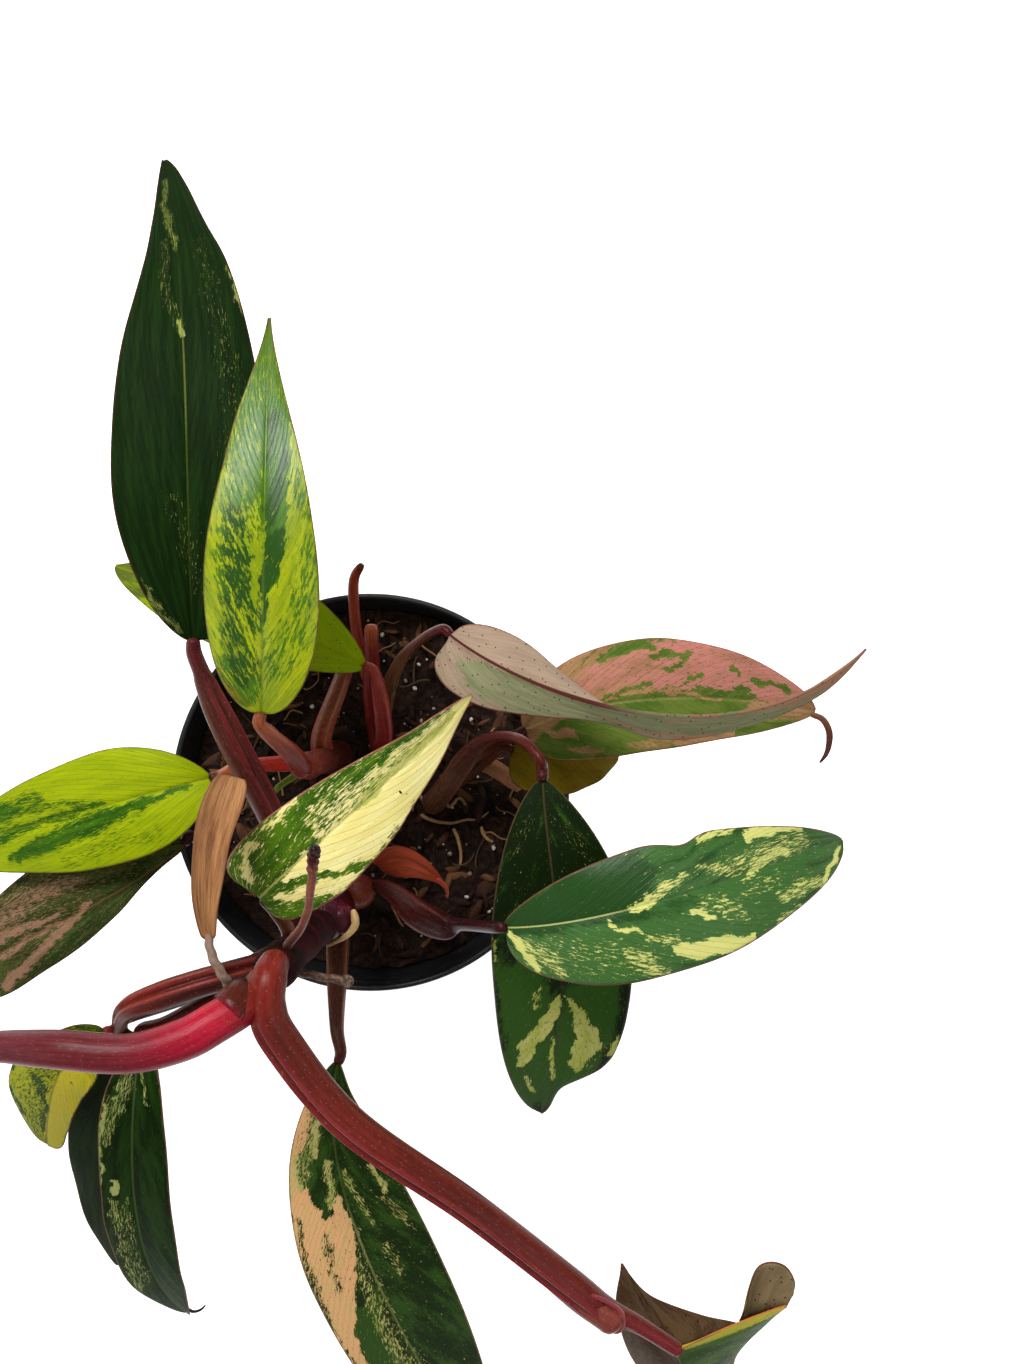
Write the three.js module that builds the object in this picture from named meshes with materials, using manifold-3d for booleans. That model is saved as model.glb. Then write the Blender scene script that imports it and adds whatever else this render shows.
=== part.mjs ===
// A potted caramel apple philodendron: four leafy shoots in a black nursery pot.
// Millimetres, +Z up, origin at the centre of the pot's underside.

import * as THREE from 'three';
import { mergeVertices } from 'three/addons/utils/BufferGeometryUtils.js';
import Module from 'manifold-3d';

const wasm = await Module();
wasm.setup();

// Pot and soil
const POT_HEIGHT = 108;
const RIM_RADIUS = 70;
const RIM_BAND_HEIGHT = 11;
const BASE_RADIUS = 50;
const WALL = 1.6;
const LIP = 2;
const SOIL_HEIGHT = 93;
const DRAIN_HOLES = 8;
const DRAIN_RADIUS = 4.5;
const DRAIN_CIRCLE = 38;

// Clearances and sections
const GAP = 0.35;
const BLADE_EDGE = 0.8;
const BLADE_MIDRIB = 1.7;
const FOOT_BOTTOM = 76;
const STALK_SIDES = [0, 0.45, 0.8, 1.3, 2.1, Math.PI, -2.1, -1.3, -0.8, -0.45];

const COLOURS = {
  pot: 0x17181a,
  soil: 0x2e211a,
  redStalk: 0x7a2b30,
  brownStalk: 0x6b2f2a,
  root: 0x4a342c,
  tan: 0xb98a64,
  rust: 0x9a4a33,
  darkLeaf: 0x24472a,
  limeLeaf: 0x93a92f,
  creamLeaf: 0xc9cf86,
  pinkLeaf: 0xb98a83,
  oliveLeaf: 0x8a8034,
};

const plant = new THREE.Group();

function vec(p) {
  return new THREE.Vector3(p[0], p[1], p[2]);
}

function addMesh(name, geometry, colour, roughness = 0.5) {
  const material = new THREE.MeshStandardMaterial({ color: colour, roughness, metalness: 0 });
  const mesh = new THREE.Mesh(geometry, material);
  mesh.name = name;
  plant.add(mesh);
}

// Solids for joining and cutting
function toSolid(geometry) {
  const bare = geometry.clone();
  bare.deleteAttribute('normal');
  bare.deleteAttribute('uv');
  const merged = mergeVertices(bare, 1e-4);
  return new wasm.Manifold(new wasm.Mesh({
    numProp: 3,
    vertProperties: new Float32Array(merged.attributes.position.array),
    triVerts: new Uint32Array(merged.index.array),
  }));
}

function fromSolid(solid) {
  const mesh = solid.getMesh();
  const geometry = new THREE.BufferGeometry();
  geometry.setAttribute('position', new THREE.BufferAttribute(mesh.vertProperties, 3));
  geometry.setIndex(new THREE.BufferAttribute(mesh.triVerts, 1));
  return geometry;
}

function fuse(geometries) {
  return geometries.map(toSolid).reduce((whole, next) => whole.add(next));
}

// A closed shell from rings of equal length, capped at both ends
function shellFromRings(rings) {
  const sides = rings[0].length;
  const positions = rings.flat().flatMap((p) => [p.x, p.y, p.z]);
  const middle = (ring) => ring.reduce((sum, p) => sum.add(p), new THREE.Vector3()).divideScalar(sides);
  const first = middle(rings[0]);
  const last = middle(rings.at(-1));
  positions.push(first.x, first.y, first.z, last.x, last.y, last.z);
  const start = rings.length * sides;
  const faces = [];
  for (let i = 0; i < rings.length - 1; i += 1) {
    for (let j = 0; j < sides; j += 1) {
      const a = i * sides + j;
      const b = i * sides + ((j + 1) % sides);
      faces.push(a, b, b + sides, a, b + sides, a + sides);
    }
  }
  for (let j = 0; j < sides; j += 1) {
    const next = (j + 1) % sides;
    faces.push(start, next, j);
    faces.push(start + 1, start - sides + j, start - sides + next);
  }
  const geometry = new THREE.BufferGeometry();
  geometry.setAttribute('position', new THREE.Float32BufferAttribute(positions, 3));
  geometry.setIndex(faces);
  return geometry;
}

function smoothCurve(points) {
  return new THREE.CatmullRomCurve3(points.map(vec), false, 'catmullrom', 0.5);
}

// Stalks: a section carried along a smooth curve through rows of [x, y, z, radius, wing].
// The section is round, with a groove along the top between two thin wings where wing > 0.
function stalk(rows, { steps = 2, up = [0, 0, 1] } = {}) {
  const path = smoothCurve(rows);
  const sizes = smoothCurve(rows.map((row) => [row[3], row[4] ?? 0, 0]));
  const count = (rows.length - 1) * steps;
  const rings = [];
  for (let i = 0; i <= count; i += 1) {
    const t = i / count;
    const centre = path.getPoint(t);
    const tangent = path.getTangent(t);
    const top = vec(up).addScaledVector(tangent, -vec(up).dot(tangent)).normalize();
    const side = new THREE.Vector3().crossVectors(tangent, top);
    const size = sizes.getPoint(t);
    rings.push(STALK_SIDES.map((angle) => {
      const ridge = Math.exp(-(((Math.abs(angle) - 0.8) / 0.3) ** 2));
      const groove = 0.6 * Math.exp(-((angle / 0.4) ** 2));
      const reach = size.x * (1 + size.y * (ridge - groove));
      return centre.clone()
        .addScaledVector(top, reach * Math.cos(angle))
        .addScaledVector(side, reach * Math.sin(angle));
    }));
  }
  return shellFromRings(rings);
}

// Blades. A blade grows along a cubic Bezier spine of four points. Its upper side faces the first
// and last face vector at base and tip. On each side the half width is W * u^a * (1 - u)^b, scaled to
// reach W, and the section is an arc that starts at the fold angle and bends by curl radians.
const BLADES = {
  leaf_01: {
    spine: [[-43, 51, 190], [-42, 90, 206], [-41, 147, 200], [-59, 202, 160]],
    face: [[0.1, 0, 1], [0.15, 0, 1]],
    left: { half: 21.5, a: 0.8, b: 1.2 },
    right: { half: 22.5, a: 0.55, b: 0.9 },
    lobe: 4,
    colour: 'darkLeaf',
  },
  leaf_02: {
    spine: [[-20, 30, 207], [-17, 66, 222], [-17, 99, 218], [-19, 142, 200]],
    left: { half: 16.5, a: 0.65, b: 1.3 },
    right: { half: 15.5, a: 0.6, b: 1.35 },
    lobe: 3,
    colour: 'limeLeaf',
  },
  leaf_03: {
    spine: [[2, 44, 148], [-22, 57, 162], [-53, 68, 150], [-84, 78, 126]],
    left: { half: 13.5, a: 0.75, b: 0.7 },
    right: { half: 15.5, a: 0.9, b: 1.1 },
    colour: 'limeLeaf',
  },
  leaf_04: {
    spine: [[-47, 8, 150], [-72, 2, 162], [-116, -11, 145], [-165, -23, 112]],
    left: { half: 19.5, a: 0.7, b: 1.25 },
    right: { half: 18, a: 0.9, b: 1.5 },
    colour: 'limeLeaf',
  },
  leaf_05: {
    spine: [[-19, -20, 216], [-3, -4, 232], [17, 10, 222], [38, 35, 186]],
    face: [[0, 0, 1], [0.3, -0.3, 1]],
    left: { half: 15.5, a: 0.35, b: 0.85 },
    right: { half: 15.5, a: 0.5, b: 1.0 },
    lobe: 5,
    colour: 'creamLeaf',
  },
  leaf_06: {
    spine: [[-58, -15, 136], [-77, -32, 146], [-118, -49, 130], [-172, -78, 100]],
    left: { half: 15, a: 1.1, b: 0.75 },
    right: { half: 22, a: 0.6, b: 1.1 },
    colour: 'darkLeaf',
  },
  leaf_07: {
    spine: [[-62, -57, 214], [-69, -58, 221], [-81, -73, 205], [-93, -103, 168]],
    face: [[-0.2, 0, 1], [-0.2, -0.3, 1]],
    left: { half: 11.5, a: 0.7, b: 0.5 },
    right: { half: 12, a: 0.7, b: 0.5 },
    colour: 'oliveLeaf',
  },
  leaf_08: {
    spine: [[-52, -60, 214], [-56, -82, 210], [-68, -137, 180], [-61, -176, 122]],
    face: [[0, -0.3, 1], [-0.2, -1, 0.8]],
    left: { half: 11.5, a: 0.6, b: 0.45, fold: [0.3, 0.3] },
    right: { half: 11.5, a: 0.9, b: 0.75, fold: [0.3, 0.3] },
    colour: 'darkLeaf',
  },
  leaf_09: {
    spine: [[-61, -60, 198], [-68, -84, 186], [-80, -122, 155], [-88, -165, 110]],
    face: [[0, -0.3, 1], [-0.2, -1, 0.8]],
    left: { half: 14, a: 0.5, b: 0.8 },
    right: { half: 13.5, a: 0.6, b: 0.8 },
    colour: 'darkLeaf',
  },
  leaf_10: {
    spine: [[-4, -79, 166], [-8, -99, 184], [1, -138, 176], [37, -233, 104]],
    face: [[0, 0, 1], [0.2, -0.2, 1]],
    left: { half: 23, a: 0.85, b: 0.5 },
    right: { half: 20, a: 0.95, b: 0.5 },
    colour: 'darkLeaf',
  },
  leaf_11: {
    spine: [[59, 9, 178], [60, -19, 186], [72, -60, 164], [60, -107, 126]],
    face: [[0, 0, 1], [0, -0.2, 1]],
    left: { half: 22.5, a: 0.85, b: 0.7, notch: [0.9, 0.35, 0.05] },
    right: { half: 21.5, a: 0.8, b: 0.55 },
    colour: 'darkLeaf',
  },
  leaf_12: {
    spine: [[48, -33, 188], [74, -30, 206], [111, -17, 204], [150, -9, 172]],
    left: { half: 16.5, a: 0.8, b: 0.8 },
    right: { half: 21.5, a: 0.5, b: 0.55 },
    lobe: 3,
    colour: 'darkLeaf',
  },
  leaf_13: {
    spine: [[31, 53, 168], [55, 34, 186], [117, 11, 184], [159, 49, 166]],
    face: [[0, 0, -1], [0, 0, -1]],
    left: { half: 16, a: 0.35, b: 1.0, fold: [0.1, 1.15], curl: [0.2, 0.2] },
    right: { half: 11, a: 0.5, b: 1.0, fold: [0.2, 1.6], curl: [0.2, 0.2] },
    foldedBy: 0.45,
    lobe: 5,
    colour: 'pinkLeaf',
  },
  leaf_14: {
    spine: [[54, 23, 142], [78, 36, 154], [116, 36, 150], [153, 29, 122]],
    left: { half: 19.8, a: 0.65, b: 0.75 },
    right: { half: 17.2, a: 0.4, b: 0.7 },
    colour: 'pinkLeaf',
  },
  leaf_15: {
    spine: [[50, 16, 134], [61, 14, 140], [76, 14, 134], [86, 13, 122]],
    left: { half: 7, a: 0.6, b: 0.9 },
    right: { half: 13.5, a: 0.4, b: 0.75 },
    colour: 'oliveLeaf',
  },
  leaf_17: {
    spine: [[-81, -52, 248], [-104, -51, 256], [-146, -68, 222], [-198, -105, 150]],
    face: [[0, 0, 1], [-1, 0, 0.4]],
    left: { half: 20, a: 0.7, b: 1 },
    right: { half: 20, a: 0.7, b: 1 },
    colour: 'darkLeaf',
  },
};

// Rows lie closer together towards base and tip
const BLADE_ROWS = 12;
const BLADE_COLUMNS = [-1, -0.5, 0, 0.5, 1];

function mix(pair, u) {
  return pair[0] + (pair[1] - pair[0]) * u;
}

function bladePoint(blade, u, v) {
  const curve = new THREE.CubicBezierCurve3(...blade.spine.map(vec));
  const tangent = curve.getTangent(u);
  const face = vec(blade.face?.[0] ?? [0, 0, 1]).lerp(vec(blade.face?.[1] ?? [0, 0, 1]), u);
  const normal = face.addScaledVector(tangent, -face.dot(tangent)).normalize();
  const across = new THREE.Vector3().crossVectors(tangent, normal);
  const side = v < 0 ? blade.left : blade.right;
  const widest = side.a / (side.a + side.b);
  const scale = widest ** side.a * (1 - widest) ** side.b;
  let width = side.half * (Math.max(u, 0) ** side.a * Math.max(1 - u, 0) ** side.b) / scale;
  width += 1.5 * (1 - u) ** 8 + 0.5 * u ** 8;
  if (side.notch) {
    const [at, depth, spread] = side.notch;
    width *= 1 - depth * Math.exp(-(((u - at) / spread) ** 2));
  }
  const fold = mix(side.fold ?? [0.2, 0.1], Math.min(1, u / (blade.foldedBy ?? 1)));
  const curl = mix(side.curl ?? [-0.5, -0.3], u);
  const reach = Math.abs(v) * width / side.half;
  const lateral = Math.sign(v) * side.half / curl * (Math.sin(fold + curl * reach) - Math.sin(fold));
  const rise = -side.half / curl * (Math.cos(fold + curl * reach) - Math.cos(fold));
  const back = (blade.lobe ?? 1.5) * reach ** 2 * (1 - u) ** 3;
  return curve.getPoint(u)
    .addScaledVector(across, lateral)
    .addScaledVector(normal, rise)
    .addScaledVector(tangent, -back);
}

// A thin solid on both sides of a surface: rows and columns of points, thickness by row and column.
// Both faces are split along the same diagonals.
function thinSolid(point, rows, columns, thickness) {
  const upper = [];
  const lower = [];
  const step = 1e-3;
  for (const u of rows) {
    for (const v of columns) {
      const u0 = Math.max(0, u - step);
      const u1 = Math.min(1, u + step);
      const v0 = Math.max(columns[0], v - step);
      const v1 = Math.min(columns.at(-1), v + step);
      const along = point(u1, v).sub(point(u0, v));
      const across = point(u, v1).sub(point(u, v0));
      const normal = new THREE.Vector3().crossVectors(across, along).normalize();
      const centre = point(u, v);
      const half = thickness(u, v) / 2;
      upper.push(centre.clone().addScaledVector(normal, half));
      lower.push(centre.clone().addScaledVector(normal, -half));
    }
  }
  const wide = columns.length;
  const count = upper.length;
  const faces = [];
  for (let i = 0; i < rows.length - 1; i += 1) {
    for (let j = 0; j < wide - 1; j += 1) {
      const a = i * wide + j;
      const b = a + 1;
      const c = a + wide + 1;
      const d = a + wide;
      faces.push(a, b, c, a, c, d);
      faces.push(count + a, count + c, count + b, count + a, count + d, count + c);
    }
  }
  const border = [];
  for (let j = 0; j < wide - 1; j += 1) border.push(j);
  for (let i = 0; i < rows.length - 1; i += 1) border.push(i * wide + wide - 1);
  for (let j = wide - 1; j > 0; j -= 1) border.push((rows.length - 1) * wide + j);
  for (let i = rows.length - 1; i > 0; i -= 1) border.push(i * wide);
  border.forEach((a, k) => {
    const b = border[(k + 1) % border.length];
    faces.push(a, count + a, count + b, a, count + b, b);
  });
  const geometry = new THREE.BufferGeometry();
  const positions = [...upper, ...lower].flatMap((p) => [p.x, p.y, p.z]);
  geometry.setAttribute('position', new THREE.Float32BufferAttribute(positions, 3));
  geometry.setIndex(faces);
  return geometry;
}

function bladeGeometry(blade) {
  const angles = Array.from({ length: BLADE_ROWS + 1 }, (_, i) => Math.PI * i / BLADE_ROWS);
  const rows = angles.map((angle) => 0.5 - 0.5 * Math.cos(angle));
  const thickness = (u, v) => (v === 0 ? BLADE_MIDRIB + (BLADE_EDGE - BLADE_MIDRIB) * u : BLADE_EDGE);
  return thinSolid((u, v) => bladePoint(blade, u, v), rows, BLADE_COLUMNS, thickness);
}

// A stalk's last two rows, in line with the blade that it carries and just short of it
function reaching(rows, spine, radius) {
  const base = vec(spine[0]);
  const along = vec(spine[1]).sub(base).normalize();
  const near = base.clone().addScaledVector(along, -4);
  const end = base.clone().addScaledVector(along, -GAP - 0.3);
  return [...rows, [near.x, near.y, near.z, radius * 1.1, 0], [end.x, end.y, end.z, radius, 0]];
}

// The last leaf is rolled: two halves fan out from where its stalk meets it, and the right half's
// lobe curls back over itself.
const ROLLED = {
  midrib: [[93, -138, 225], [93, -140, 223.5], [94, -142, 222], [95, -145, 220], [96, -152, 214],
    [99, -163, 202], [105, -182, 172], [112, -205, 130]],
  leftMargin: [[113, -135, 214], [101, -134, 213], [88, -130, 212], [80, -121, 212], [79, -136, 206],
    [85, -160, 185], [98, -188, 152], [111, -205, 130]],
  rightMargin: [[94.5, -137.5, 226.5], [103, -132, 229], [114, -127, 231], [124, -120, 231],
    [119, -132, 223], [114, -148, 210], [118, -178, 172], [113, -205, 130]],
  lobeRoot: [[110, -128, 230], [117, -125, 231], [124, -120, 231]],
  lobeEdge: [[110.5, -118, 236], [117, -111, 238], [123, -115.5, 236]],
  colour: 'oliveLeaf',
};

function ruled(first, second, rowCount) {
  const a = smoothCurve(first);
  const b = smoothCurve(second);
  const rows = Array.from({ length: rowCount + 1 }, (_, i) => i / rowCount);
  const point = (u, v) => a.getPoint(u).lerp(b.getPoint(u), v);
  return thinSolid(point, rows, [0, 0.5, 1], () => BLADE_EDGE);
}

// Stalks of each shoot, as rows of [x, y, z, radius, wing], from the shoot outwards
const STAND_UP = { up: [1, 0, 0] };

const frontShoot = [
  stalk([[-9, -36, FOOT_BOTTOM, 6], [-9, -36, 98, 6.2], [-9, -36, 112, 7], [-10, -36, 135, 5.8],
    [-10, -37, 165, 5.6], [-11, -36, 195, 5.8], [-12, -37, 220, 5.6], [-15, -39, 240, 5]], STAND_UP),
  stalk(reaching([[-13, -38, 232, 5.2], [-17, -42, 243, 5.3], [-24, -46, 247, 5.4], [-32, -50, 249, 5.3],
    [-45, -53, 250, 5], [-62, -52, 250, 4.8]], BLADES.leaf_17.spine, 3.6)),
  stalk([[-12, -38, 230, 5], [-12, -43, 240, 5.2, 0.1], [-8, -52, 242, 5, 0.2],
    [9, -73, 241, 4.6, 0.25], [39, -95, 238, 4.2, 0.35], [65, -117, 233, 4.1, 0.4],
    [74, -125, 230, 3.4, 0.3], [83, -130.5, 227.6, 2.4], [92.6, -137.4, 225.5, 2]]),
  stalk(reaching([[-12, -35, 202, 3], [-18, -29, 211, 2.6]], BLADES.leaf_05.spine, 2)),
  stalk(reaching([[-10, -36, 138, 4.5], [-17, -26, 152, 5, 0.2], [-25, -1, 167, 5, 0.35],
    [-32, 16, 178, 4.8, 0.4], [-38, 32, 184, 4.2, 0.3]], BLADES.leaf_01.spine, 2.1)),
  stalk(reaching([[-12, -37, 214, 4], [-26, -39, 226, 4.2, 0.3], [-34, -41, 228, 4.2, 0.4],
    [-43, -44, 228, 4, 0.4], [-52, -48, 225, 3.2, 0.3]], BLADES.leaf_07.spine, 1.6)),
  stalk(reaching([[-12, -37, 220, 2.5], [-27, -44, 222, 2.2], [-43, -53, 219, 2]],
    BLADES.leaf_08.spine, 1.6)),
  stalk(reaching([[-11, -36, 186, 3], [-40, -50, 194, 2.4]], BLADES.leaf_09.spine, 1.8)),
  stalk(reaching([[-9, -36, 122, 4], [-7, -46, 140, 4.2, 0.3], [-6, -60, 152, 3.6, 0.3],
    [-5, -70, 160, 2.6, 0.1]], BLADES.leaf_10.spine, 1.9)),
  stalk(reaching([[-8, -36, 106, 5], [2, -31, 118, 4.8, 0.2], [10, -31, 132, 4.8, 0.4],
    [20, -36, 146, 4.8, 0.45], [29, -38, 157, 4, 0.4], [35, -36, 164, 2.3]],
    BLADES.leaf_12.spine, 1.8)),
  stalk(reaching([[-9, -36, 112, 3], [-35, -25, 127, 2.6]], BLADES.leaf_06.spine, 1.9)),
];

const backShoot = [
  stalk([[-13, 13, FOOT_BOTTOM, 5.2], [-13, 13, 98, 5.4], [-13, 13, 125, 5], [-13, 13, 160, 4.8],
    [-14, 13, 190, 4]], STAND_UP),
  stalk(reaching([[-13, 13, 180, 3.8], [-11, 20, 196, 3.8, 0.2]], BLADES.leaf_02.spine, 2)),
  stalk(reaching([[-13, 13, 146, 3.4], [-21, 13, 154, 3, 0.1], [-36, 12, 154, 2.4]],
    BLADES.leaf_04.spine, 1.8)),
  stalk([[-13, 13, 128, 3.4], [-13, 21, 138, 3.2], [-5, 41, 150, 3]]),
  stalk([[-13, 13, 140, 2], [-24, 6, 149, 1.5], [-28, 1, 152, 1.2]]),
];

const northShoot = [
  stalk([[4, 14, FOOT_BOTTOM, 4], [4, 14.5, 101, 4.2], [3, 24, 112, 3.8, 0.2], [2, 36, 118, 3.5, 0.3],
    [2, 50, 122, 2.6, 0.1], [2, 59, 124, 2.4]], STAND_UP),
  stalk([[2, 36, 117, 3], [-3, 53, 119, 2], [-4, 72, 124, 1.8], [0, 79, 130, 1.2]]),
  stalk(reaching([[4, 16, 107, 3.4], [6, 22, 118, 3, 0.2], [6, 35, 135, 2.6, 0.2]],
    BLADES.leaf_03.spine, 1.8)),
  stalk(reaching([[4, 20, 110, 3], [7, 33, 124, 3.4, 0.3], [13, 45, 142, 3.2, 0.3], [21, 52, 157, 2.2]],
    BLADES.leaf_13.spine, 1.7)),
];

const eastShoot = [
  stalk(reaching([[22, -4, FOOT_BOTTOM, 4.6], [22, -4, 101, 4.8], [27, 3, 114, 4.8, 0.2],
    [33, 12, 128, 4.8, 0.4], [39, 19, 147, 4, 0.4], [46, 22, 162, 2.2, 0.1], [53, 21, 174, 2],
    [58, 16, 179, 1.9]], BLADES.leaf_11.spine, 1.7), STAND_UP),
  stalk(reaching([[26, 0, 106, 3], [41, 16, 124, 2.6]], BLADES.leaf_14.spine, 1.7)),
  stalk(reaching([[25, 0, 104, 3], [38, 10, 118, 2.4]], BLADES.leaf_15.spine, 1.6)),
  stalk([[24, -2, 102, 3], [37, 11, 110, 3], [56, 1, 117, 2.8]]),
];

// Two papery sheaths and two roots that are separate in colour
const CATAPHYLLS = {
  cataphyll_tan: {
    spine: [[-28, -27, 236], [-29, -10, 238], [-26, 2, 237], [-23, 14, 230]],
    left: { half: 4.6, a: 0.6, b: 0.6, fold: [0.5, 0.3], curl: [0.8, 0.5] },
    right: { half: 4.6, a: 0.6, b: 0.6, fold: [0.5, 0.3], curl: [0.8, 0.5] },
  },
  cataphyll_rust: {
    spine: [[4, -24.5, 120], [10, -17, 130], [20, -21, 135], [27, -29, 131]],
    left: { half: 5, a: 0.6, b: 0.6 },
    right: { half: 5, a: 0.6, b: 0.6 },
  },
};

const TAN_TAIL = [[-22, -40, 237, 1.5], [-24, -36, 239, 1.3], [-27, -31, 238, 1.2], [-28.5, -26, 236, 1.1]];
const AERIAL_ROOT = [[-10.1, -31.4, 225.7, 1.5], [-4, -23, 233, 1.3], [-1, -12, 240, 1.3], [1, -3, 245, 1.6]];
const DRIED_ROOT = [[-12, -43.3, 200, 1.3], [-7, -43.8, 202, 1.1], [1, -45.5, 201, 1.3], [4, -46, 200, 2]];

// Soil: a filled disc whose top is uneven by a formula, with plain holes for the four shoots
const SOIL_FEET = [[-9, -36, 6.4], [-13, 13, 5.7], [4, 14, 4.5], [22, -4, 5.2]];

function soilTop(x, y) {
  const lumps = 1.1 * Math.sin(x * 0.21 + 0.7) * Math.cos(y * 0.17 - 0.4);
  const chips = 0.7 * Math.sin(x * 0.47 - y * 0.33) + 0.5 * Math.sin(x * 0.29 + y * 0.61 + 1.3);
  return SOIL_HEIGHT - 0.6 + lumps + chips;
}

function potInside(z) {
  const low = BASE_RADIUS - WALL;
  const high = RIM_RADIUS - LIP;
  return low + (high - low) * (z / POT_HEIGHT) ** 0.9;
}

function soilSolid() {
  const around = 40;
  const radii = [0, 0.2, 0.4, 0.6, 0.8, 1];
  const floor = WALL + GAP + 0.3;
  const edge = potInside(SOIL_HEIGHT) - GAP - 0.4;
  const foot = potInside(floor) - GAP - 0.4;
  const positions = [];
  const faces = [];
  const ring = (radius, height) => {
    for (let j = 0; j < around; j += 1) {
      const angle = (2 * Math.PI * j) / around;
      const x = radius * Math.cos(angle);
      const y = radius * Math.sin(angle);
      positions.push(x, y, height(x, y));
    }
  };
  positions.push(0, 0, soilTop(0, 0));
  radii.slice(1).forEach((part) => ring(part * edge, soilTop));
  ring(potInside(SOIL_HEIGHT / 2) - GAP - 0.6, () => SOIL_HEIGHT / 2);
  ring(foot, () => floor);
  const rings = radii.length + 1;
  for (let j = 0; j < around; j += 1) {
    const next = (j + 1) % around;
    faces.push(0, 1 + j, 1 + next);
    for (let i = 0; i < rings - 1; i += 1) {
      const a = 1 + i * around + j;
      const b = 1 + i * around + next;
      faces.push(a, a + around, b + around, a, b + around, b);
    }
  }
  const last = 1 + (rings - 1) * around;
  const centre = positions.length / 3;
  positions.push(0, 0, floor);
  for (let j = 0; j < around; j += 1) {
    faces.push(centre, last + ((j + 1) % around), last + j);
  }
  const geometry = new THREE.BufferGeometry();
  geometry.setAttribute('position', new THREE.Float32BufferAttribute(positions, 3));
  geometry.setIndex(faces);
  let solid = toSolid(geometry);
  for (const [x, y, radius] of SOIL_FEET) {
    const hole = new THREE.CylinderGeometry(radius + GAP, radius + GAP, 60, 14);
    hole.rotateX(Math.PI / 2);
    hole.translate(x, y, FOOT_BOTTOM - GAP + 30);
    solid = solid.subtract(toSolid(hole));
  }
  return solid;
}

// Pot: a thin tapered wall with a band round the rim, and drain holes near the edge of its base
function potSolid() {
  const bandFoot = POT_HEIGHT - RIM_BAND_HEIGHT;
  const wallSteps = [0.25, 0.5, 0.75];
  const outerWall = wallSteps.map((t) => new THREE.Vector2(potInside(t * bandFoot) + WALL, t * bandFoot));
  const innerWall = wallSteps.map((t) => new THREE.Vector2(potInside(t * bandFoot), t * bandFoot)).reverse();
  const profile = [
    new THREE.Vector2(0, 0),
    new THREE.Vector2(BASE_RADIUS - 1.5, 0),
    new THREE.Vector2(BASE_RADIUS, 1.2),
    ...outerWall,
    new THREE.Vector2(potInside(bandFoot) + WALL, bandFoot),
    new THREE.Vector2(RIM_RADIUS - 0.9, bandFoot + 0.5),
    new THREE.Vector2(RIM_RADIUS - 0.1, POT_HEIGHT - 1.6),
    new THREE.Vector2(RIM_RADIUS - 0.5, POT_HEIGHT - 0.3),
    new THREE.Vector2(RIM_RADIUS - 1, POT_HEIGHT),
    new THREE.Vector2(RIM_RADIUS - LIP + 0.3, POT_HEIGHT - 0.2),
    new THREE.Vector2(potInside(POT_HEIGHT - 1.4), POT_HEIGHT - 1.4),
    ...innerWall,
    new THREE.Vector2(potInside(WALL) - 0.2, WALL),
    new THREE.Vector2(0, WALL),
  ];
  const lathe = new THREE.LatheGeometry(profile, 40);
  lathe.rotateX(Math.PI / 2);
  let solid = toSolid(lathe);
  for (let i = 0; i < DRAIN_HOLES; i += 1) {
    const angle = (2 * Math.PI * i) / DRAIN_HOLES;
    const hole = new THREE.CylinderGeometry(DRAIN_RADIUS, DRAIN_RADIUS, 12, 12);
    hole.rotateX(Math.PI / 2);
    hole.translate(DRAIN_CIRCLE * Math.cos(angle), DRAIN_CIRCLE * Math.sin(angle), 0);
    solid = solid.subtract(toSolid(hole));
  }
  return solid;
}

addMesh('pot', fromSolid(potSolid()), COLOURS.pot, 0.45);
addMesh('soil', fromSolid(soilSolid()), COLOURS.soil, 0.95);
addMesh('shoot_front', fromSolid(fuse(frontShoot)), COLOURS.redStalk, 0.4);
addMesh('shoot_back', fromSolid(fuse(backShoot)), COLOURS.redStalk, 0.4);
addMesh('shoot_north', fromSolid(fuse(northShoot)), COLOURS.redStalk, 0.4);
addMesh('shoot_east', fromSolid(fuse(eastShoot)), COLOURS.brownStalk, 0.4);
addMesh('aerial_root', stalk(AERIAL_ROOT), COLOURS.root, 0.8);
addMesh('dried_root', stalk(DRIED_ROOT), COLOURS.root, 0.8);
const tanBlade = bladeGeometry(CATAPHYLLS.cataphyll_tan);
addMesh('cataphyll_tan', fromSolid(fuse([tanBlade, stalk(TAN_TAIL)])), COLOURS.tan, 0.7);
addMesh('cataphyll_rust', bladeGeometry(CATAPHYLLS.cataphyll_rust), COLOURS.rust, 0.6);

for (const [name, blade] of Object.entries(BLADES)) {
  addMesh(name, bladeGeometry(blade), COLOURS[blade.colour], 0.35);
}

const rolledLeaf = fuse([
  ruled(ROLLED.midrib, ROLLED.leftMargin, 10),
  ruled(ROLLED.midrib, ROLLED.rightMargin, 10),
  ruled(ROLLED.lobeRoot, ROLLED.lobeEdge, 4),
]);
addMesh('leaf_16', fromSolid(rolledLeaf), COLOURS[ROLLED.colour], 0.4);

export default plant;
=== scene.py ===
"""Looks of a potted caramel apple philodendron: four leafy shoots in a black nursery pot.

Tables are in millimetres, with +Z up and the origin at the centre of the pot's underside.
The camera looks straight down, with +Y at the top of its picture.
"""

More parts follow.
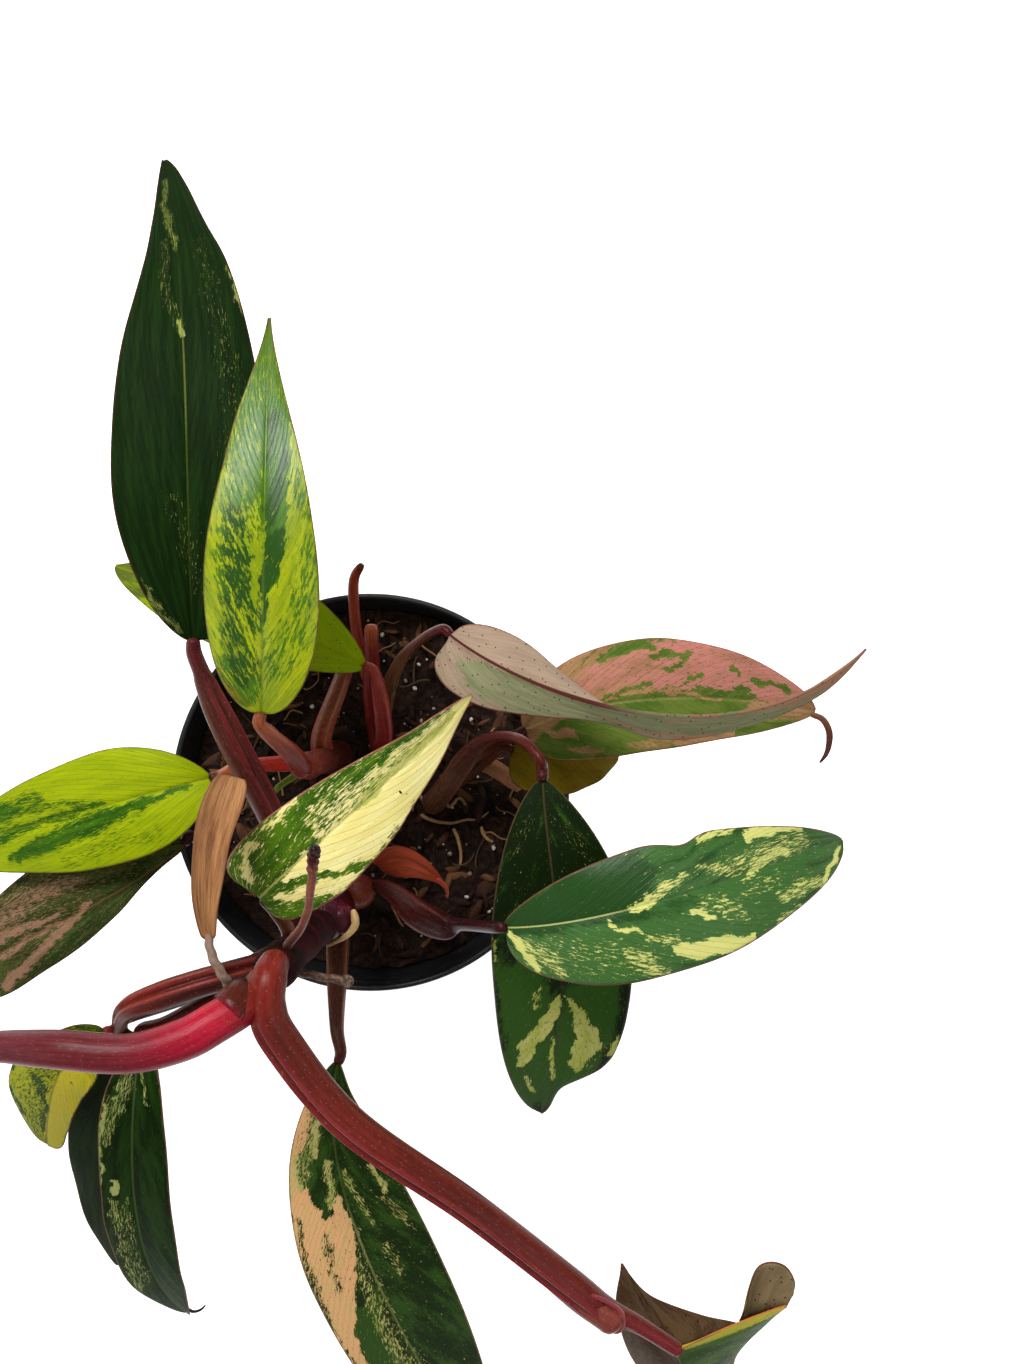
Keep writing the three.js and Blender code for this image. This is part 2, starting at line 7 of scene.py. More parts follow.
import bmesh
import bpy
import numpy as np
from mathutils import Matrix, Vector


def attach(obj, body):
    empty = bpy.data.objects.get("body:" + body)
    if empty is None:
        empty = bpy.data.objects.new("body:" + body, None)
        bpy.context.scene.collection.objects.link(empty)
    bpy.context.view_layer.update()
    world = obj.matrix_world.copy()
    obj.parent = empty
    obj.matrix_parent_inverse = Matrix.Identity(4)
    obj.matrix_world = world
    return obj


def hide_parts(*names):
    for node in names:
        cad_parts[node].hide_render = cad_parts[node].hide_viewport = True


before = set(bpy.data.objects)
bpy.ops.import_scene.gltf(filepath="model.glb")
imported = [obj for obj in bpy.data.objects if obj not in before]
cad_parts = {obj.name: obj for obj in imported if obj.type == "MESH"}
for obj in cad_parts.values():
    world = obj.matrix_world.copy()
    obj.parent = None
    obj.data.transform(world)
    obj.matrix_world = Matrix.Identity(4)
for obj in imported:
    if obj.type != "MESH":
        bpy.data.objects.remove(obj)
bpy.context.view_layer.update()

MM = 0.001
UP = (0, 0, 1)
STAND_UP = (1, 0, 0)
FULL_TURN = 2 * np.pi
WELD = 1e-3


# Numbers and colours

def rgb(red, green, blue):
    """A colour from 0..255 display values, turned linear: ((c + 0.055) / 1.055) ^ 2.4."""
    shares = np.array([red, green, blue]) / 255
    linear = np.where(shares > 0.04, ((shares + 0.055) / 1.055) ** 2.4, shares / 12.92)
    return (*linear.tolist(), 1.0)


def rise(x, low, high):
    """Smooth step: 3t^2 - 2t^3 of t = (x - low) / (high - low), held to 0..1."""
    t = np.clip((x - low) / (high - low), 0, 1)
    return t * t * (3 - 2 * t)


def unit(vectors):
    """Vectors divided by their lengths."""
    return vectors / np.maximum(np.linalg.norm(vectors, axis=-1, keepdims=True), 1e-12)


def through(points, t):
    """Uniform Catmull-Rom curve through points at t = 0..n-1, with the end points mirrored."""
    p = np.asarray(points, float)
    ends = np.vstack([2 * p[0] - p[1], p, 2 * p[-1] - p[-2]])
    i = np.clip(np.asarray(t).astype(int), 0, len(p) - 2)
    w = (t - i)[:, None]
    a, b, c, d = ends[i], ends[i + 1], ends[i + 2], ends[i + 3]
    leave, arrive = (c - a) / 2, (d - b) / 2
    cubic = 2 * b - 2 * c + leave + arrive
    square = 3 * c - 3 * b - 2 * leave - arrive
    return cubic * w ** 3 + square * w ** 2 + leave * w + b


def circle(turns):
    """Angles of one full turn in even steps."""
    return FULL_TURN * np.arange(turns) / turns


def round_z(radius, angle, height):
    """Points at a radius, an angle and a height round the Z axis."""
    return np.stack(np.broadcast_arrays(radius * np.cos(angle), radius * np.sin(angle), height), -1)


LATTICE = 64
LATTICE_START = 500


def lumps(x, y, cell, rng):
    """Value noise: random numbers on a lattice of the given cell, joined by smooth steps."""
    grid = rng.random((LATTICE, LATTICE))
    gx, gy = x / cell + LATTICE_START, y / cell + LATTICE_START
    ix, iy = np.floor(gx).astype(int), np.floor(gy).astype(int)
    fx, fy = rise(gx - ix, 0, 1), rise(gy - iy, 0, 1)
    ix, iy = ix % LATTICE, iy % LATTICE
    next_x, next_y = (ix + 1) % LATTICE, (iy + 1) % LATTICE
    low = grid[ix, iy] * (1 - fx) + grid[next_x, iy] * fx
    high = grid[ix, next_y] * (1 - fx) + grid[next_x, next_y] * fx
    return low * (1 - fy) + high * fy - 0.5


# Meshes

class Part:
    """Points with faces of three or four corners, and values for each point."""

    def __init__(self, points, faces, look=0, **values):
        self.points = np.asarray(points, float).reshape(-1, 3)
        self.faces = np.asarray(faces, int)
        self.look = look
        self.values = values


def grid_faces(rows, columns, closed=False):
    """Quads of a grid of rows x columns, whose normal is column direction x row direction."""
    i = np.arange(rows - 1)[:, None]
    j = np.arange(columns if closed else columns - 1)[None, :]
    a = i * columns + j
    b = i * columns + (j + 1) % columns
    return np.stack([a, b, b + columns, a + columns], -1).reshape(-1, 4)


def placed(name, data):
    """A new object in the scene."""
    thing = bpy.data.objects.new(name, data)
    bpy.context.scene.collection.objects.link(thing)
    return thing


def spread(value, count):
    """A value for each of count points, from one value or from as many."""
    return np.broadcast_to(value, (count,) + np.shape(value)[1:])


def make(name, looks, parts, merge=0.0, replaces=()):
    """One object out of parts, riding on the root body, with point values as attributes."""
    mesh = bpy.data.meshes.new(name)
    sizes = [len(p.points) for p in parts]
    starts = np.cumsum([0] + sizes[:-1])
    points = np.concatenate([p.points for p in parts]) * MM
    corners = np.concatenate([(p.faces + s).ravel() for p, s in zip(parts, starts)])
    counts = np.concatenate([np.full(len(p.faces), p.faces.shape[1]) for p in parts])
    look_of = np.concatenate([np.broadcast_to(p.look, len(p.faces)) for p in parts])
    mesh.vertices.add(len(points))
    mesh.vertices.foreach_set("co", points.ravel())
    mesh.loops.add(len(corners))
    mesh.loops.foreach_set("vertex_index", corners.astype(np.int32))
    mesh.polygons.add(len(counts))
    mesh.polygons.foreach_set("loop_start", (np.cumsum(counts) - counts).astype(np.int32))
    mesh.polygons.foreach_set("loop_total", counts.astype(np.int32))
    mesh.polygons.foreach_set("material_index", look_of.astype(np.int32))
    mesh.update(calc_edges=True)
    mesh.polygons.foreach_set("use_smooth", np.ones(len(counts), bool))
    for key in parts[0].values:
        value = np.concatenate([spread(p.values[key], n) for p, n in zip(parts, sizes)])
        if key == "veins":
            layer = mesh.uv_layers.new(name="veins")
            layer.data.foreach_set("uv", value[corners].ravel().astype(np.float32))
        elif value.ndim == 2:
            layer = mesh.attributes.new(key, "FLOAT_COLOR", "POINT")
            layer.data.foreach_set("color", value.ravel().astype(np.float32))
        else:
            layer = mesh.attributes.new(key, "FLOAT", "POINT")
            layer.data.foreach_set("value", value.astype(np.float32))
    mesh.validate()
    piece = placed(name, mesh)
    for look in looks:
        mesh.materials.append(look.material)
    if merge:
        weld(mesh, merge)
    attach(piece, "root")
    if replaces:
        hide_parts(*replaces)
    return piece


def weld(mesh, distance):
    """Joins the doubled points of seams and poles."""
    work = bmesh.new()
    work.from_mesh(mesh)
    bmesh.ops.remove_doubles(work, verts=work.verts, dist=distance * MM)
    bmesh.ops.dissolve_degenerate(work, dist=1e-7, edges=work.edges)
    work.to_mesh(mesh)
    work.free()


# Materials. A Mix node has a set of sockets for each type of data; these are the ones for colours.

MIX_AMOUNT = 0
MIX_FIRST = 6
MIX_SECOND = 7
MIX_COLOUR = 2


class Wire:
    """An output socket whose sums, differences and products add Math nodes."""

    def __init__(self, look, socket):
        self.look = look
        self.socket = socket

    def math(self, operation, first, second):
        return self.look.node("ShaderNodeMath", {"operation": operation}, [first, second])

    def __add__(self, other):
        return self.math("ADD", self, other)

    def __sub__(self, other):
        return self.math("SUBTRACT", self, other)

    def __rsub__(self, other):
        return self.math("SUBTRACT", other, self)

    def __mul__(self, other):
        return self.math("MULTIPLY", self, other)

    __radd__ = __add__
    __rmul__ = __mul__


class Look:
    """A material made of one Principled shader and the nodes that feed it."""

    def __init__(self, name):
        self.material = bpy.data.materials.new(name)
        self.material.use_nodes = True
        self.tree = self.material.node_tree
        self.shader = self.tree.nodes["Principled BSDF"]

    def node(self, kind, settings=None, inputs=(), output=0):
        """A new node with its settings and inputs, the latter in order or by key; gives one output."""
        made = self.tree.nodes.new(kind)
        for key, value in (settings or {}).items():
            setattr(made, key, value)
        pairs = inputs.items() if isinstance(inputs, dict) else enumerate(inputs)
        for key, value in pairs:
            self.put(made.inputs[key], value)
        return Wire(self, made.outputs[output])

    def put(self, socket, value):
        """Links a wire to the socket, or writes a plain value on it."""
        if isinstance(value, Wire):
            self.tree.links.new(value.socket, socket)
        else:
            socket.default_value = value

    def object_place(self):
        return self.node("ShaderNodeTexCoord", output="Object")

    def veins(self):
        return self.node("ShaderNodeUVMap", {"uv_map": "veins"})

    def value(self, name, output="Fac"):
        return self.node("ShaderNodeAttribute", {"attribute_name": name}, output=output)

    def in_cells(self, place, cells, shift):
        """Place measured in cells along each of its axes, then shifted."""
        scale = tuple(1 / c for c in cells)
        return self.node("ShaderNodeMapping", inputs={"Vector": place, "Scale": scale, "Location": shift})

    def noise(self, place, cells, shift=(0, 0, 0), detail=3.0, rough=0.55):
        """Noise whose grains measure the given cells along each axis of place."""
        moved = self.in_cells(place, cells, shift)
        inputs = {"Vector": moved, "Scale": 1.0, "Detail": detail, "Roughness": rough}
        return self.node("ShaderNodeTexNoise", inputs=inputs)

    def spots(self, place, cells, shift=(0, 0, 0)):
        """Distance to the nearest of scattered points, in cells."""
        inputs = {"Vector": self.in_cells(place, cells, shift), "Scale": 1.0}
        return self.node("ShaderNodeTexVoronoi", {"voronoi_dimensions": "2D"}, inputs)

    def band(self, value, low, high, top=1.0):
        """Smooth step from 0 at low to top at high."""
        inputs = {"Value": value, "From Min": low, "From Max": high, "To Min": 0.0, "To Max": top}
        return self.node("ShaderNodeMapRange", {"interpolation_type": "SMOOTHSTEP"}, inputs)

    def blend(self, first, second, amount, kind="MIX"):
        """Two colours mixed by amount, or multiplied where kind is MULTIPLY."""
        inputs = {MIX_AMOUNT: amount, MIX_FIRST: first, MIX_SECOND: second}
        return self.node("ShaderNodeMix", {"data_type": "RGBA", "blend_type": kind}, inputs, MIX_COLOUR)

    def finish(self, colour, roughness, height=None, depth=0.0, **fixed):
        """Feeds the shader; height is felt to a depth in millimetres, and fixed names other sockets."""
        self.put(self.shader.inputs["Base Color"], colour)
        self.put(self.shader.inputs["Roughness"], roughness)
        if height is not None:
            inputs = {"Height": height, "Distance": depth * MM, "Strength": 1.0}
            self.put(self.shader.inputs["Normal"], self.node("ShaderNodeBump", inputs=inputs))
        for key, value in fixed.items():
            self.put(self.shader.inputs[key.replace("_", " ").title().replace("Ior", "IOR")], value)
        return self


def black_plastic():
    """Moulded plastic with a fine grain, a slow cloud and a little dust."""
    look = Look("moulded_black_plastic")
    place = look.object_place()
    grain = look.noise(place, (0.0006, 0.0006, 0.0006), detail=4)
    cloud = look.noise(place, (0.02, 0.02, 0.012), detail=5)
    patches = look.noise(place, (0.004, 0.004, 0.0015), (3, 1, 2), 6, 0.7)
    dust = look.band(patches + cloud * 0.3, 0.72, 0.86)
    colour = look.blend(rgb(16, 17, 19), rgb(30, 31, 33), cloud)
    colour = look.blend(colour, rgb(92, 84, 74), dust * 0.3)
    rough = 0.36 + 0.14 * cloud + 0.3 * dust
    return look.finish(colour, rough, grain + cloud * 2, 0.05, specular_ior_level=0.28)


def potting_mix():
    """Dark crumbs with darker patches and short brown fibres."""
    look = Look("peat_and_bark_mix")
    place = look.object_place()
    crumbs = look.noise(place, (0.0022, 0.0022, 0.0022), detail=8, rough=0.75)
    patches = look.noise(place, (0.011, 0.011, 0.011), (2, 0, 0), detail=4)
    fibres = look.band(look.noise(place, (0.0006, 0.005, 0.002), (0, 4, 0), 3), 0.62, 0.7)
    colour = look.blend(rgb(22, 15, 12), rgb(70, 46, 34), look.band(crumbs, 0.35, 0.75))
    colour = look.blend(colour, rgb(14, 9, 8), look.band(patches, 0.5, 0.7))
    colour = look.blend(colour, rgb(104, 74, 50), fibres * 0.5)
    return look.finish(colour, 0.8 - 0.25 * patches, crumbs + 0.4 * fibres, 1.6, specular_ior_level=0.12)


def toned(name, roughness, contrast=0.35, depth=0.15, **fixed):
    """A finish whose colour is the tone attribute, with darker and lighter grains."""
    look = Look(name)
    place = look.object_place()
    tone = look.value("tone", "Color")
    cloud = look.noise(place, (0.0035, 0.0035, 0.0035), detail=6, rough=0.65)
    fine = look.noise(place, (0.0007, 0.0007, 0.0007), detail=4, rough=0.7)
    dark = look.blend(tone, (1 - contrast, 1 - contrast, 1 - contrast, 1), 1.0, "MULTIPLY")
    colour = look.blend(dark, tone, look.band(cloud * 0.6 + fine * 0.4, 0.38, 0.62))
    return look.finish(colour, roughness + 0.15 * (cloud - 0.5), cloud + fine, depth, **fixed)


def stalk_skin():
    """Waxy skin of stalks: the tone attribute with streaks along the stalk and small pale specks."""
    look = Look("waxy_stalk_skin")
    place = look.veins()
    tone = look.value("tone", "Color")
    streak = look.noise(place, (0.8, 16.0, 1.0), detail=6, rough=0.65)
    mottle = look.noise(look.object_place(), (0.0014, 0.0014, 0.0014), detail=5, rough=0.7)
    dark = look.blend(tone, (0.7, 0.62, 0.62, 1), 1.0, "MULTIPLY")
    colour = look.blend(dark, tone, look.band(streak * 0.65 + mottle * 0.35, 0.4, 0.58))
    speck = 1 - look.band(look.spots(place, (1.3, 3.4, 1.0)), 0.03, 0.08)
    colour = look.blend(colour, rgb(200, 140, 120), speck * 0.28)
    dry = look.value("dry")
    colour = look.blend(colour, rgb(126, 104, 90), dry * look.band(mottle + streak * 0.5, 0.68, 0.9))
    rough = 0.2 + 0.16 * streak + 0.35 * dry
    return look.finish(colour, rough, streak + mottle * 0.6, 0.12, specular_ior_level=0.11)


BROWN_DOT = rgb(44, 26, 16)
PORE_DEPTH = 0.12


def leaf_skin(name, shift, deep, mid, pale, pale_too, tint, rib, margin, shade,
              gloss=0.45, sheen=0.03, rib_width=0.5, specks=0.5, coarse=1.0):
    """Leaf face: greens, pale and tinted sectors with torn edges along the veins, midrib and margin.

    Specks and coarse scale the brown dots and the torn edges, rib_width is in millimetres, and
    sheen is the specular level.
    """
    look = Look(name)
    place = look.veins()
    streak = look.noise(place, (0.6 * coarse, 2.4 * coarse, 1.0), (shift, 0.0, 0.0), 6, 0.7)
    shred = look.noise(place, (0.2 * coarse, 0.6 * coarse, 1.0), (shift, 3.0, 0.0), 3, 0.6)
    cloud = look.noise(place, (4.5, 18.0, 1.0), (shift, 7.0, 0.0), 3, 0.55)
    fibre = look.noise(place, (0.2, 16.0, 1.0), (shift, 9.0, 0.0), 4, 0.7)
    grain = look.noise(look.object_place(), (0.0004, 0.0004, 0.0004), (shift, 5.0, 0.0), 2, 0.5)
    torn = (streak - 0.5) * 4.2 + (shred - 0.5) * 1.3
    pale_share = look.band(look.value("pale") + torn, 0.46, 0.54)
    half_share = look.band(look.value("pale") + torn * 0.8, 0.26, 0.52, 0.45)
    tint_share = look.band(look.value("tint") + torn, 0.46, 0.54)
    deep_share = look.band(look.value("deep") + (cloud - 0.5) * 1.8 + (streak - 0.5) * 1.2, 0.3, 0.7)
    greens = look.blend(mid, deep, deep_share)
    greens = look.blend(greens, shade, look.band(fibre, 0.45, 0.7, 0.18))
    pales = look.blend(pale, pale_too, look.band(cloud + (shred - 0.5) * 0.5, 0.36, 0.62))
    colour = look.blend(greens, pales, half_share)
    colour = look.blend(colour, pales, pale_share)
    warm = look.blend(tint, pales, look.band(cloud * 0.5 + streak * 0.5, 0.47, 0.62, 0.6))
    colour = look.blend(colour, warm, tint_share)
    lines = look.band(look.node("ShaderNodeMath", {"operation": "SINE"}, [look.value("vein")]), 0.7, 1.0)
    colour = look.blend(colour, shade, lines * 0.1 + look.band(fibre, 0.5, 0.72, 0.13))
    rib_share = 1 - look.band(look.value("rib") + (grain - 0.5) * 0.25, rib_width * 0.4, rib_width)
    colour = look.blend(colour, rib, rib_share * look.value("ribshow"))
    edge_share = 1 - look.band(look.value("edge") + (streak - 0.5) * 1.6, 0.15, 0.55)
    colour = look.blend(colour, margin, edge_share * 0.9)
    nearest = look.spots(look.object_place(), (0.0038, 0.0034, 1.0), (shift, 0, 0))
    dots = 1 - look.band(nearest, 0.05 * specks, 0.09 * specks)
    dots = dots + look.band(look.value("scar"), 0.4, 0.6)
    colour = look.blend(colour, BROWN_DOT, dots)
    height = fibre * 0.6 - lines * 0.5 + grain * 0.3 - rib_share * 0.5
    rough = gloss + 0.2 * (streak - 0.5) + 0.1 * (grain - 0.5)
    return look.finish(colour, rough, height, PORE_DEPTH, specular_ior_level=sheen)


def dry_sheath(name, light, dark, edge):
    """Papery sheath: long streaks, a few fold lines, dark spots and a thin edge."""
    look = Look(name)
    place = look.veins()
    streak = look.noise(place, (12.0, 0.5, 1.0), (4, 0, 0), 5, 0.6)
    cloud = look.noise(place, (9.0, 3.0, 1.0), (1, 5, 0), 4, 0.55)
    colour = look.blend(light, dark, look.band(streak * 0.55 + cloud * 0.45, 0.38, 0.66))
    rim = 1 - look.band(look.value("edge") + (streak - 0.5) * 0.6, 0.1, 0.6)
    colour = look.blend(colour, edge, rim * 0.8)
    specks = 1 - look.band(look.spots(place, (5.0, 2.2, 1.0)), 0.03, 0.07)
    colour = look.blend(colour, rgb(80, 45, 30), specks * 0.5)
    return look.finish(colour, 0.5 + 0.15 * cloud, streak, 0.25, specular_ior_level=0.15)


POT_LOOK = black_plastic()
SOIL_LOOK = potting_mix()
STALK_LOOK = stalk_skin()
BARK_LOOK = toned("bark_chips", 0.7, 0.5, 0.5, specular_ior_level=0.15)
GRAIN_LOOK = toned("perlite_grains", 0.85, 0.2, 0.3, specular_ior_level=0.2)
ROOT_LOOK = toned("dry_roots", 0.6, 0.4, 0.2, specular_ior_level=0.2)
STEM_LOOK = toned("old_stem_skin", 0.75, 0.5, 0.35, specular_ior_level=0.03)
TAN_LOOK = dry_sheath("tan_sheath", rgb(166, 120, 76), rgb(112, 70, 42), rgb(104, 62, 38))
RUST_LOOK = dry_sheath("rust_sheath", rgb(142, 54, 24), rgb(98, 36, 18), rgb(128, 44, 28))


# Pot

POT_HEIGHT = 108
RIM_RADIUS = 70
RIM_BAND_HEIGHT = 11
BASE_RADIUS = 50
WALL = 1.6
LIP = 2
SOIL_HEIGHT = 93
DRAIN_HOLES = 8
DRAIN_RADIUS = 4.5
DRAIN_CIRCLE = 38
DRAIN_SIDES = 24
PLUG_REACH = 5
AXIS_GAP = 1e-4
FOOT_ROUND = 2
POT_TURNS = 144
WALL_STEPS = 24
FLAT_NORMAL = 0.999


def pot_inside(z):
    """Inner radius: from the base's to the rim's, growing with height to the power 0.9."""
    low = BASE_RADIUS - WALL
    return low + (RIM_RADIUS - LIP - low) * (z / POT_HEIGHT) ** 0.9


def arc(centre, radius, first, last, steps):
    """Points of radius and height on an arc between two angles in degrees."""
    a = np.radians(np.linspace(first, last, steps))
    return np.stack([centre[0] + radius * np.cos(a), centre[1] + radius * np.sin(a)], -1)


def pot_profile():
    """Radius and height: along the underside, up the outside, over the lip and down the inside."""
    band = POT_HEIGHT - RIM_BAND_HEIGHT
    outer = np.linspace(2.5, band - 0.6, WALL_STEPS)
    inner = np.linspace(POT_HEIGHT - 1.6, WALL + 1.2, WALL_STEPS)
    return np.vstack([
        [[AXIS_GAP, 0], [20, 0], [44, 0]],
        arc((BASE_RADIUS - FOOT_ROUND, FOOT_ROUND), FOOT_ROUND, -90, 0, 5),
        np.stack([pot_inside(outer) + WALL, outer], -1),
        arc((pot_inside(band) + WALL + 0.5, band), 0.5, 180, 90, 3),
        arc((RIM_RADIUS - 0.9, band + 1.1), 0.6, -60, 0, 4),
        [[RIM_RADIUS - 0.25, band + 4], [RIM_RADIUS - 0.15, POT_HEIGHT - 3]],
        arc((RIM_RADIUS - 1.1, POT_HEIGHT - 1.05), 1.05, 0, 180, 12),
        [[pot_inside(POT_HEIGHT) - 0.02, POT_HEIGHT - 1.3]],
        np.stack([pot_inside(inner), inner], -1),
        arc((pot_inside(WALL) - 1.2, WALL + 1), 1, 0, -90, 4),
        [[30, WALL], [AXIS_GAP, WALL]],
    ])


def drain_plugs():
    """Upright prisms through the base, on a circle round its middle."""
    around = circle(DRAIN_SIDES)
    points, faces = [], []
    for k, angle in enumerate(circle(DRAIN_HOLES)):
        ring = round_z(DRAIN_CIRCLE, angle, 0) + round_z(DRAIN_RADIUS, around, 0)
        middle = ring.mean(0) + 0 * ring
        below, above = (0, 0, -PLUG_REACH), (0, 0, PLUG_REACH)
        column = np.concatenate([middle + below, ring + below, ring + above, middle + above])
        points.append(column)
        faces.append(grid_faces(4, DRAIN_SIDES, True) + k * len(column))
    mesh = bpy.data.meshes.new("drain_plugs")
    mesh.from_pydata((np.concatenate(points) * MM).tolist(), [], np.concatenate(faces).tolist())
    weld(mesh, WELD)
    return placed("drain_plugs", mesh)


def pot():
    """A profile turned round Z, with drain holes cut near the edge of its base."""
    profile = pot_profile()
    points = round_z(profile[:, :1], circle(POT_TURNS), profile[:, 1:])
    body = Part(points, grid_faces(len(profile), POT_TURNS, True))
    piece = make("nursery_pot", [POT_LOOK], [body], WELD, ["pot"])
    plugs = drain_plugs()
    cut = piece.modifiers.new("drain_holes", "BOOLEAN")
    cut.operation = "DIFFERENCE"
    cut.solver = "EXACT"
    cut.object = plugs
    whole = bpy.context.evaluated_depsgraph_get()
    finished = bpy.data.meshes.new_from_object(piece.evaluated_get(whole))
    piece.modifiers.clear()
    normals = np.zeros(len(finished.polygons) * 3)
    finished.polygons.foreach_get("normal", normals)
    finished.polygons.foreach_set("use_smooth", np.abs(normals[2::3]) < FLAT_NORMAL)
    piece.data = finished
    bpy.data.objects.remove(plugs)


pot()


# Soil

ANY_TURN = 6.283
SOIL_TURNS = 300
SOIL_RINGS = 84
SOIL_FLOOR = 3
CHIP_COUNT = 420
GRAIN_COUNT = 240
PEBBLE_KINDS = 6


def soil_top(x, y):
    """Height of the solid soil: its level plus four slow sine waves."""
    slow = 1.1 * np.sin(x * 0.21 + 0.7) * np.cos(y * 0.17 - 0.4)
    chips = 0.7 * np.sin(x * 0.47 - y * 0.33) + 0.5 * np.sin(x * 0.29 + y * 0.61 + 1.3)
    return SOIL_HEIGHT - 0.6 + slow + chips


def soil():
    """A disc of rings under the soil height plus three sizes of value noise, closed below."""
    rng = np.random.default_rng(11)
    edge = pot_inside(SOIL_HEIGHT) - 0.5
    a = circle(SOIL_TURNS)
    r = np.concatenate([[AXIS_GAP], np.linspace(0.6, edge, SOIL_RINGS)])[:, None]
    x, y = r * np.cos(a), r * np.sin(a)
    rough = 1.6 * lumps(x, y, 5.5, rng) + 1.7 * lumps(x, y, 2.4, rng) + 0.9 * lumps(x, y, 1.1, rng)
    top = np.stack([x, y, soil_top(x, y) + rough], -1)
    sides = [round_z(pot_inside(z) - 0.8, a, z) for z in (80, SOIL_HEIGHT / 2, SOIL_FLOOR)]
    points = np.concatenate([top, sides, [round_z(0, a, SOIL_FLOOR)]])
    faces = grid_faces(len(points), SOIL_TURNS, True)[:, ::-1]
    make("soil_mix", [SOIL_LOOK], [Part(points, faces)], WELD, ["soil"])


def pebble(rng):
    """A ball of 42 points whose distances from its middle are shaken."""
    work = bmesh.new()
    bmesh.ops.create_icosphere(work, subdivisions=2, radius=1)
    points = np.array([v.co[:] for v in work.verts])
    faces = np.array([[v.index for v in f.verts] for f in work.faces])
    work.free()
    return points * (0.8 + 0.4 * rng.random((len(points), 1))), faces


def turned(rng, count, tilt):
    """Rotations about Z by any angle after a small tilt about X and Y."""
    a = rng.random(count) * ANY_TURN
    b, c = (rng.random(count) - 0.5) * tilt, (rng.random(count) - 0.5) * tilt
    zero, one = 0 * a, 0 * a + 1
    spin = np.stack([np.cos(a), -np.sin(a), zero, np.sin(a), np.cos(a), zero, zero, zero, one], -1)
    pitch = np.stack([one, zero, zero, zero, np.cos(b), -np.sin(b), zero, np.sin(b), np.cos(b)], -1)
    roll = np.stack([np.cos(c), zero, np.sin(c), zero, one, zero, -np.sin(c), zero, np.cos(c)], -1)
    spin, pitch, roll = (m.reshape(-1, 3, 3) for m in (spin, pitch, roll))
    return spin @ pitch @ roll


def scattered(rng, count, sizes, tilt, tones, sink, limit):
    """Shaken balls over the soil, sunk by a share of their height, in tones made lighter or darker.

    Sizes are the least and greatest half sizes along three axes; limit is the radius they lie in.
    """
    radius = limit * np.sqrt(rng.random(count))
    angle = rng.random(count) * ANY_TURN
    x, y = radius * np.cos(angle), radius * np.sin(angle)
    low, high = np.array(sizes[0]), np.array(sizes[1])
    size = low + (high - low) * rng.random((count, 1)) ** 1.8 * (0.7 + 0.6 * rng.random((count, 3)))
    spin = turned(rng, count, tilt)
    place = np.stack([x, y, soil_top(x, y) + size[:, 2] * (1 - sink)], -1)
    parts = []
    for k in range(PEBBLE_KINDS):
        points, faces = pebble(rng)
        own = np.arange(k, count, PEBBLE_KINDS)
        moved = np.einsum("nij,npj->npi", spin[own], points[None] * size[own][:, None])
        moved = moved + place[own][:, None]
        steps = np.arange(len(own))[:, None, None] * len(points)
        corners = (faces[None] + steps).reshape(-1, 3)
        tone = np.array(tones)[rng.integers(0, len(tones), len(own))]
        tone = tone * (0.75 + 0.5 * rng.random((len(own), 1)))
        tone[:, 3] = 1
        parts.append(Part(moved, corners, tone=np.repeat(tone, len(points), 0)))
    return parts


def soil_litter():
    """Flat bark chips and small white grains."""
    rng = np.random.default_rng(23)
    bark = [rgb(60, 38, 27), rgb(38, 26, 20), rgb(84, 54, 36), rgb(46, 31, 23), rgb(116, 78, 50)]
    chips = scattered(rng, CHIP_COUNT, ((1.8, 0.5, 0.3), (7.0, 2.0, 0.9)), 0.9, bark, 0.5, 61)
    make("bark_chips", [BARK_LOOK], chips)
    white = [rgb(186, 178, 166), rgb(140, 126, 108), rgb(206, 200, 190)]
    grains = scattered(rng, GRAIN_COUNT, ((0.15, 0.15, 0.15), (1.0, 0.9, 0.8)), 3.0, white, 0.1, 62)
    make("perlite_grains", [GRAIN_LOOK], grains)


soil()
soil_litter()


# Stalks, stems and roots. A cap is drawn by (share of the radius, how far out in radii) from its pole.

CAP = ((0.0, 0.55), (0.5, 0.48), (0.82, 0.28))
LEAST_RADIUS = 0.2
RIDGE_BREADTH = 0.2
GROOVE_DEPTH = 0.7


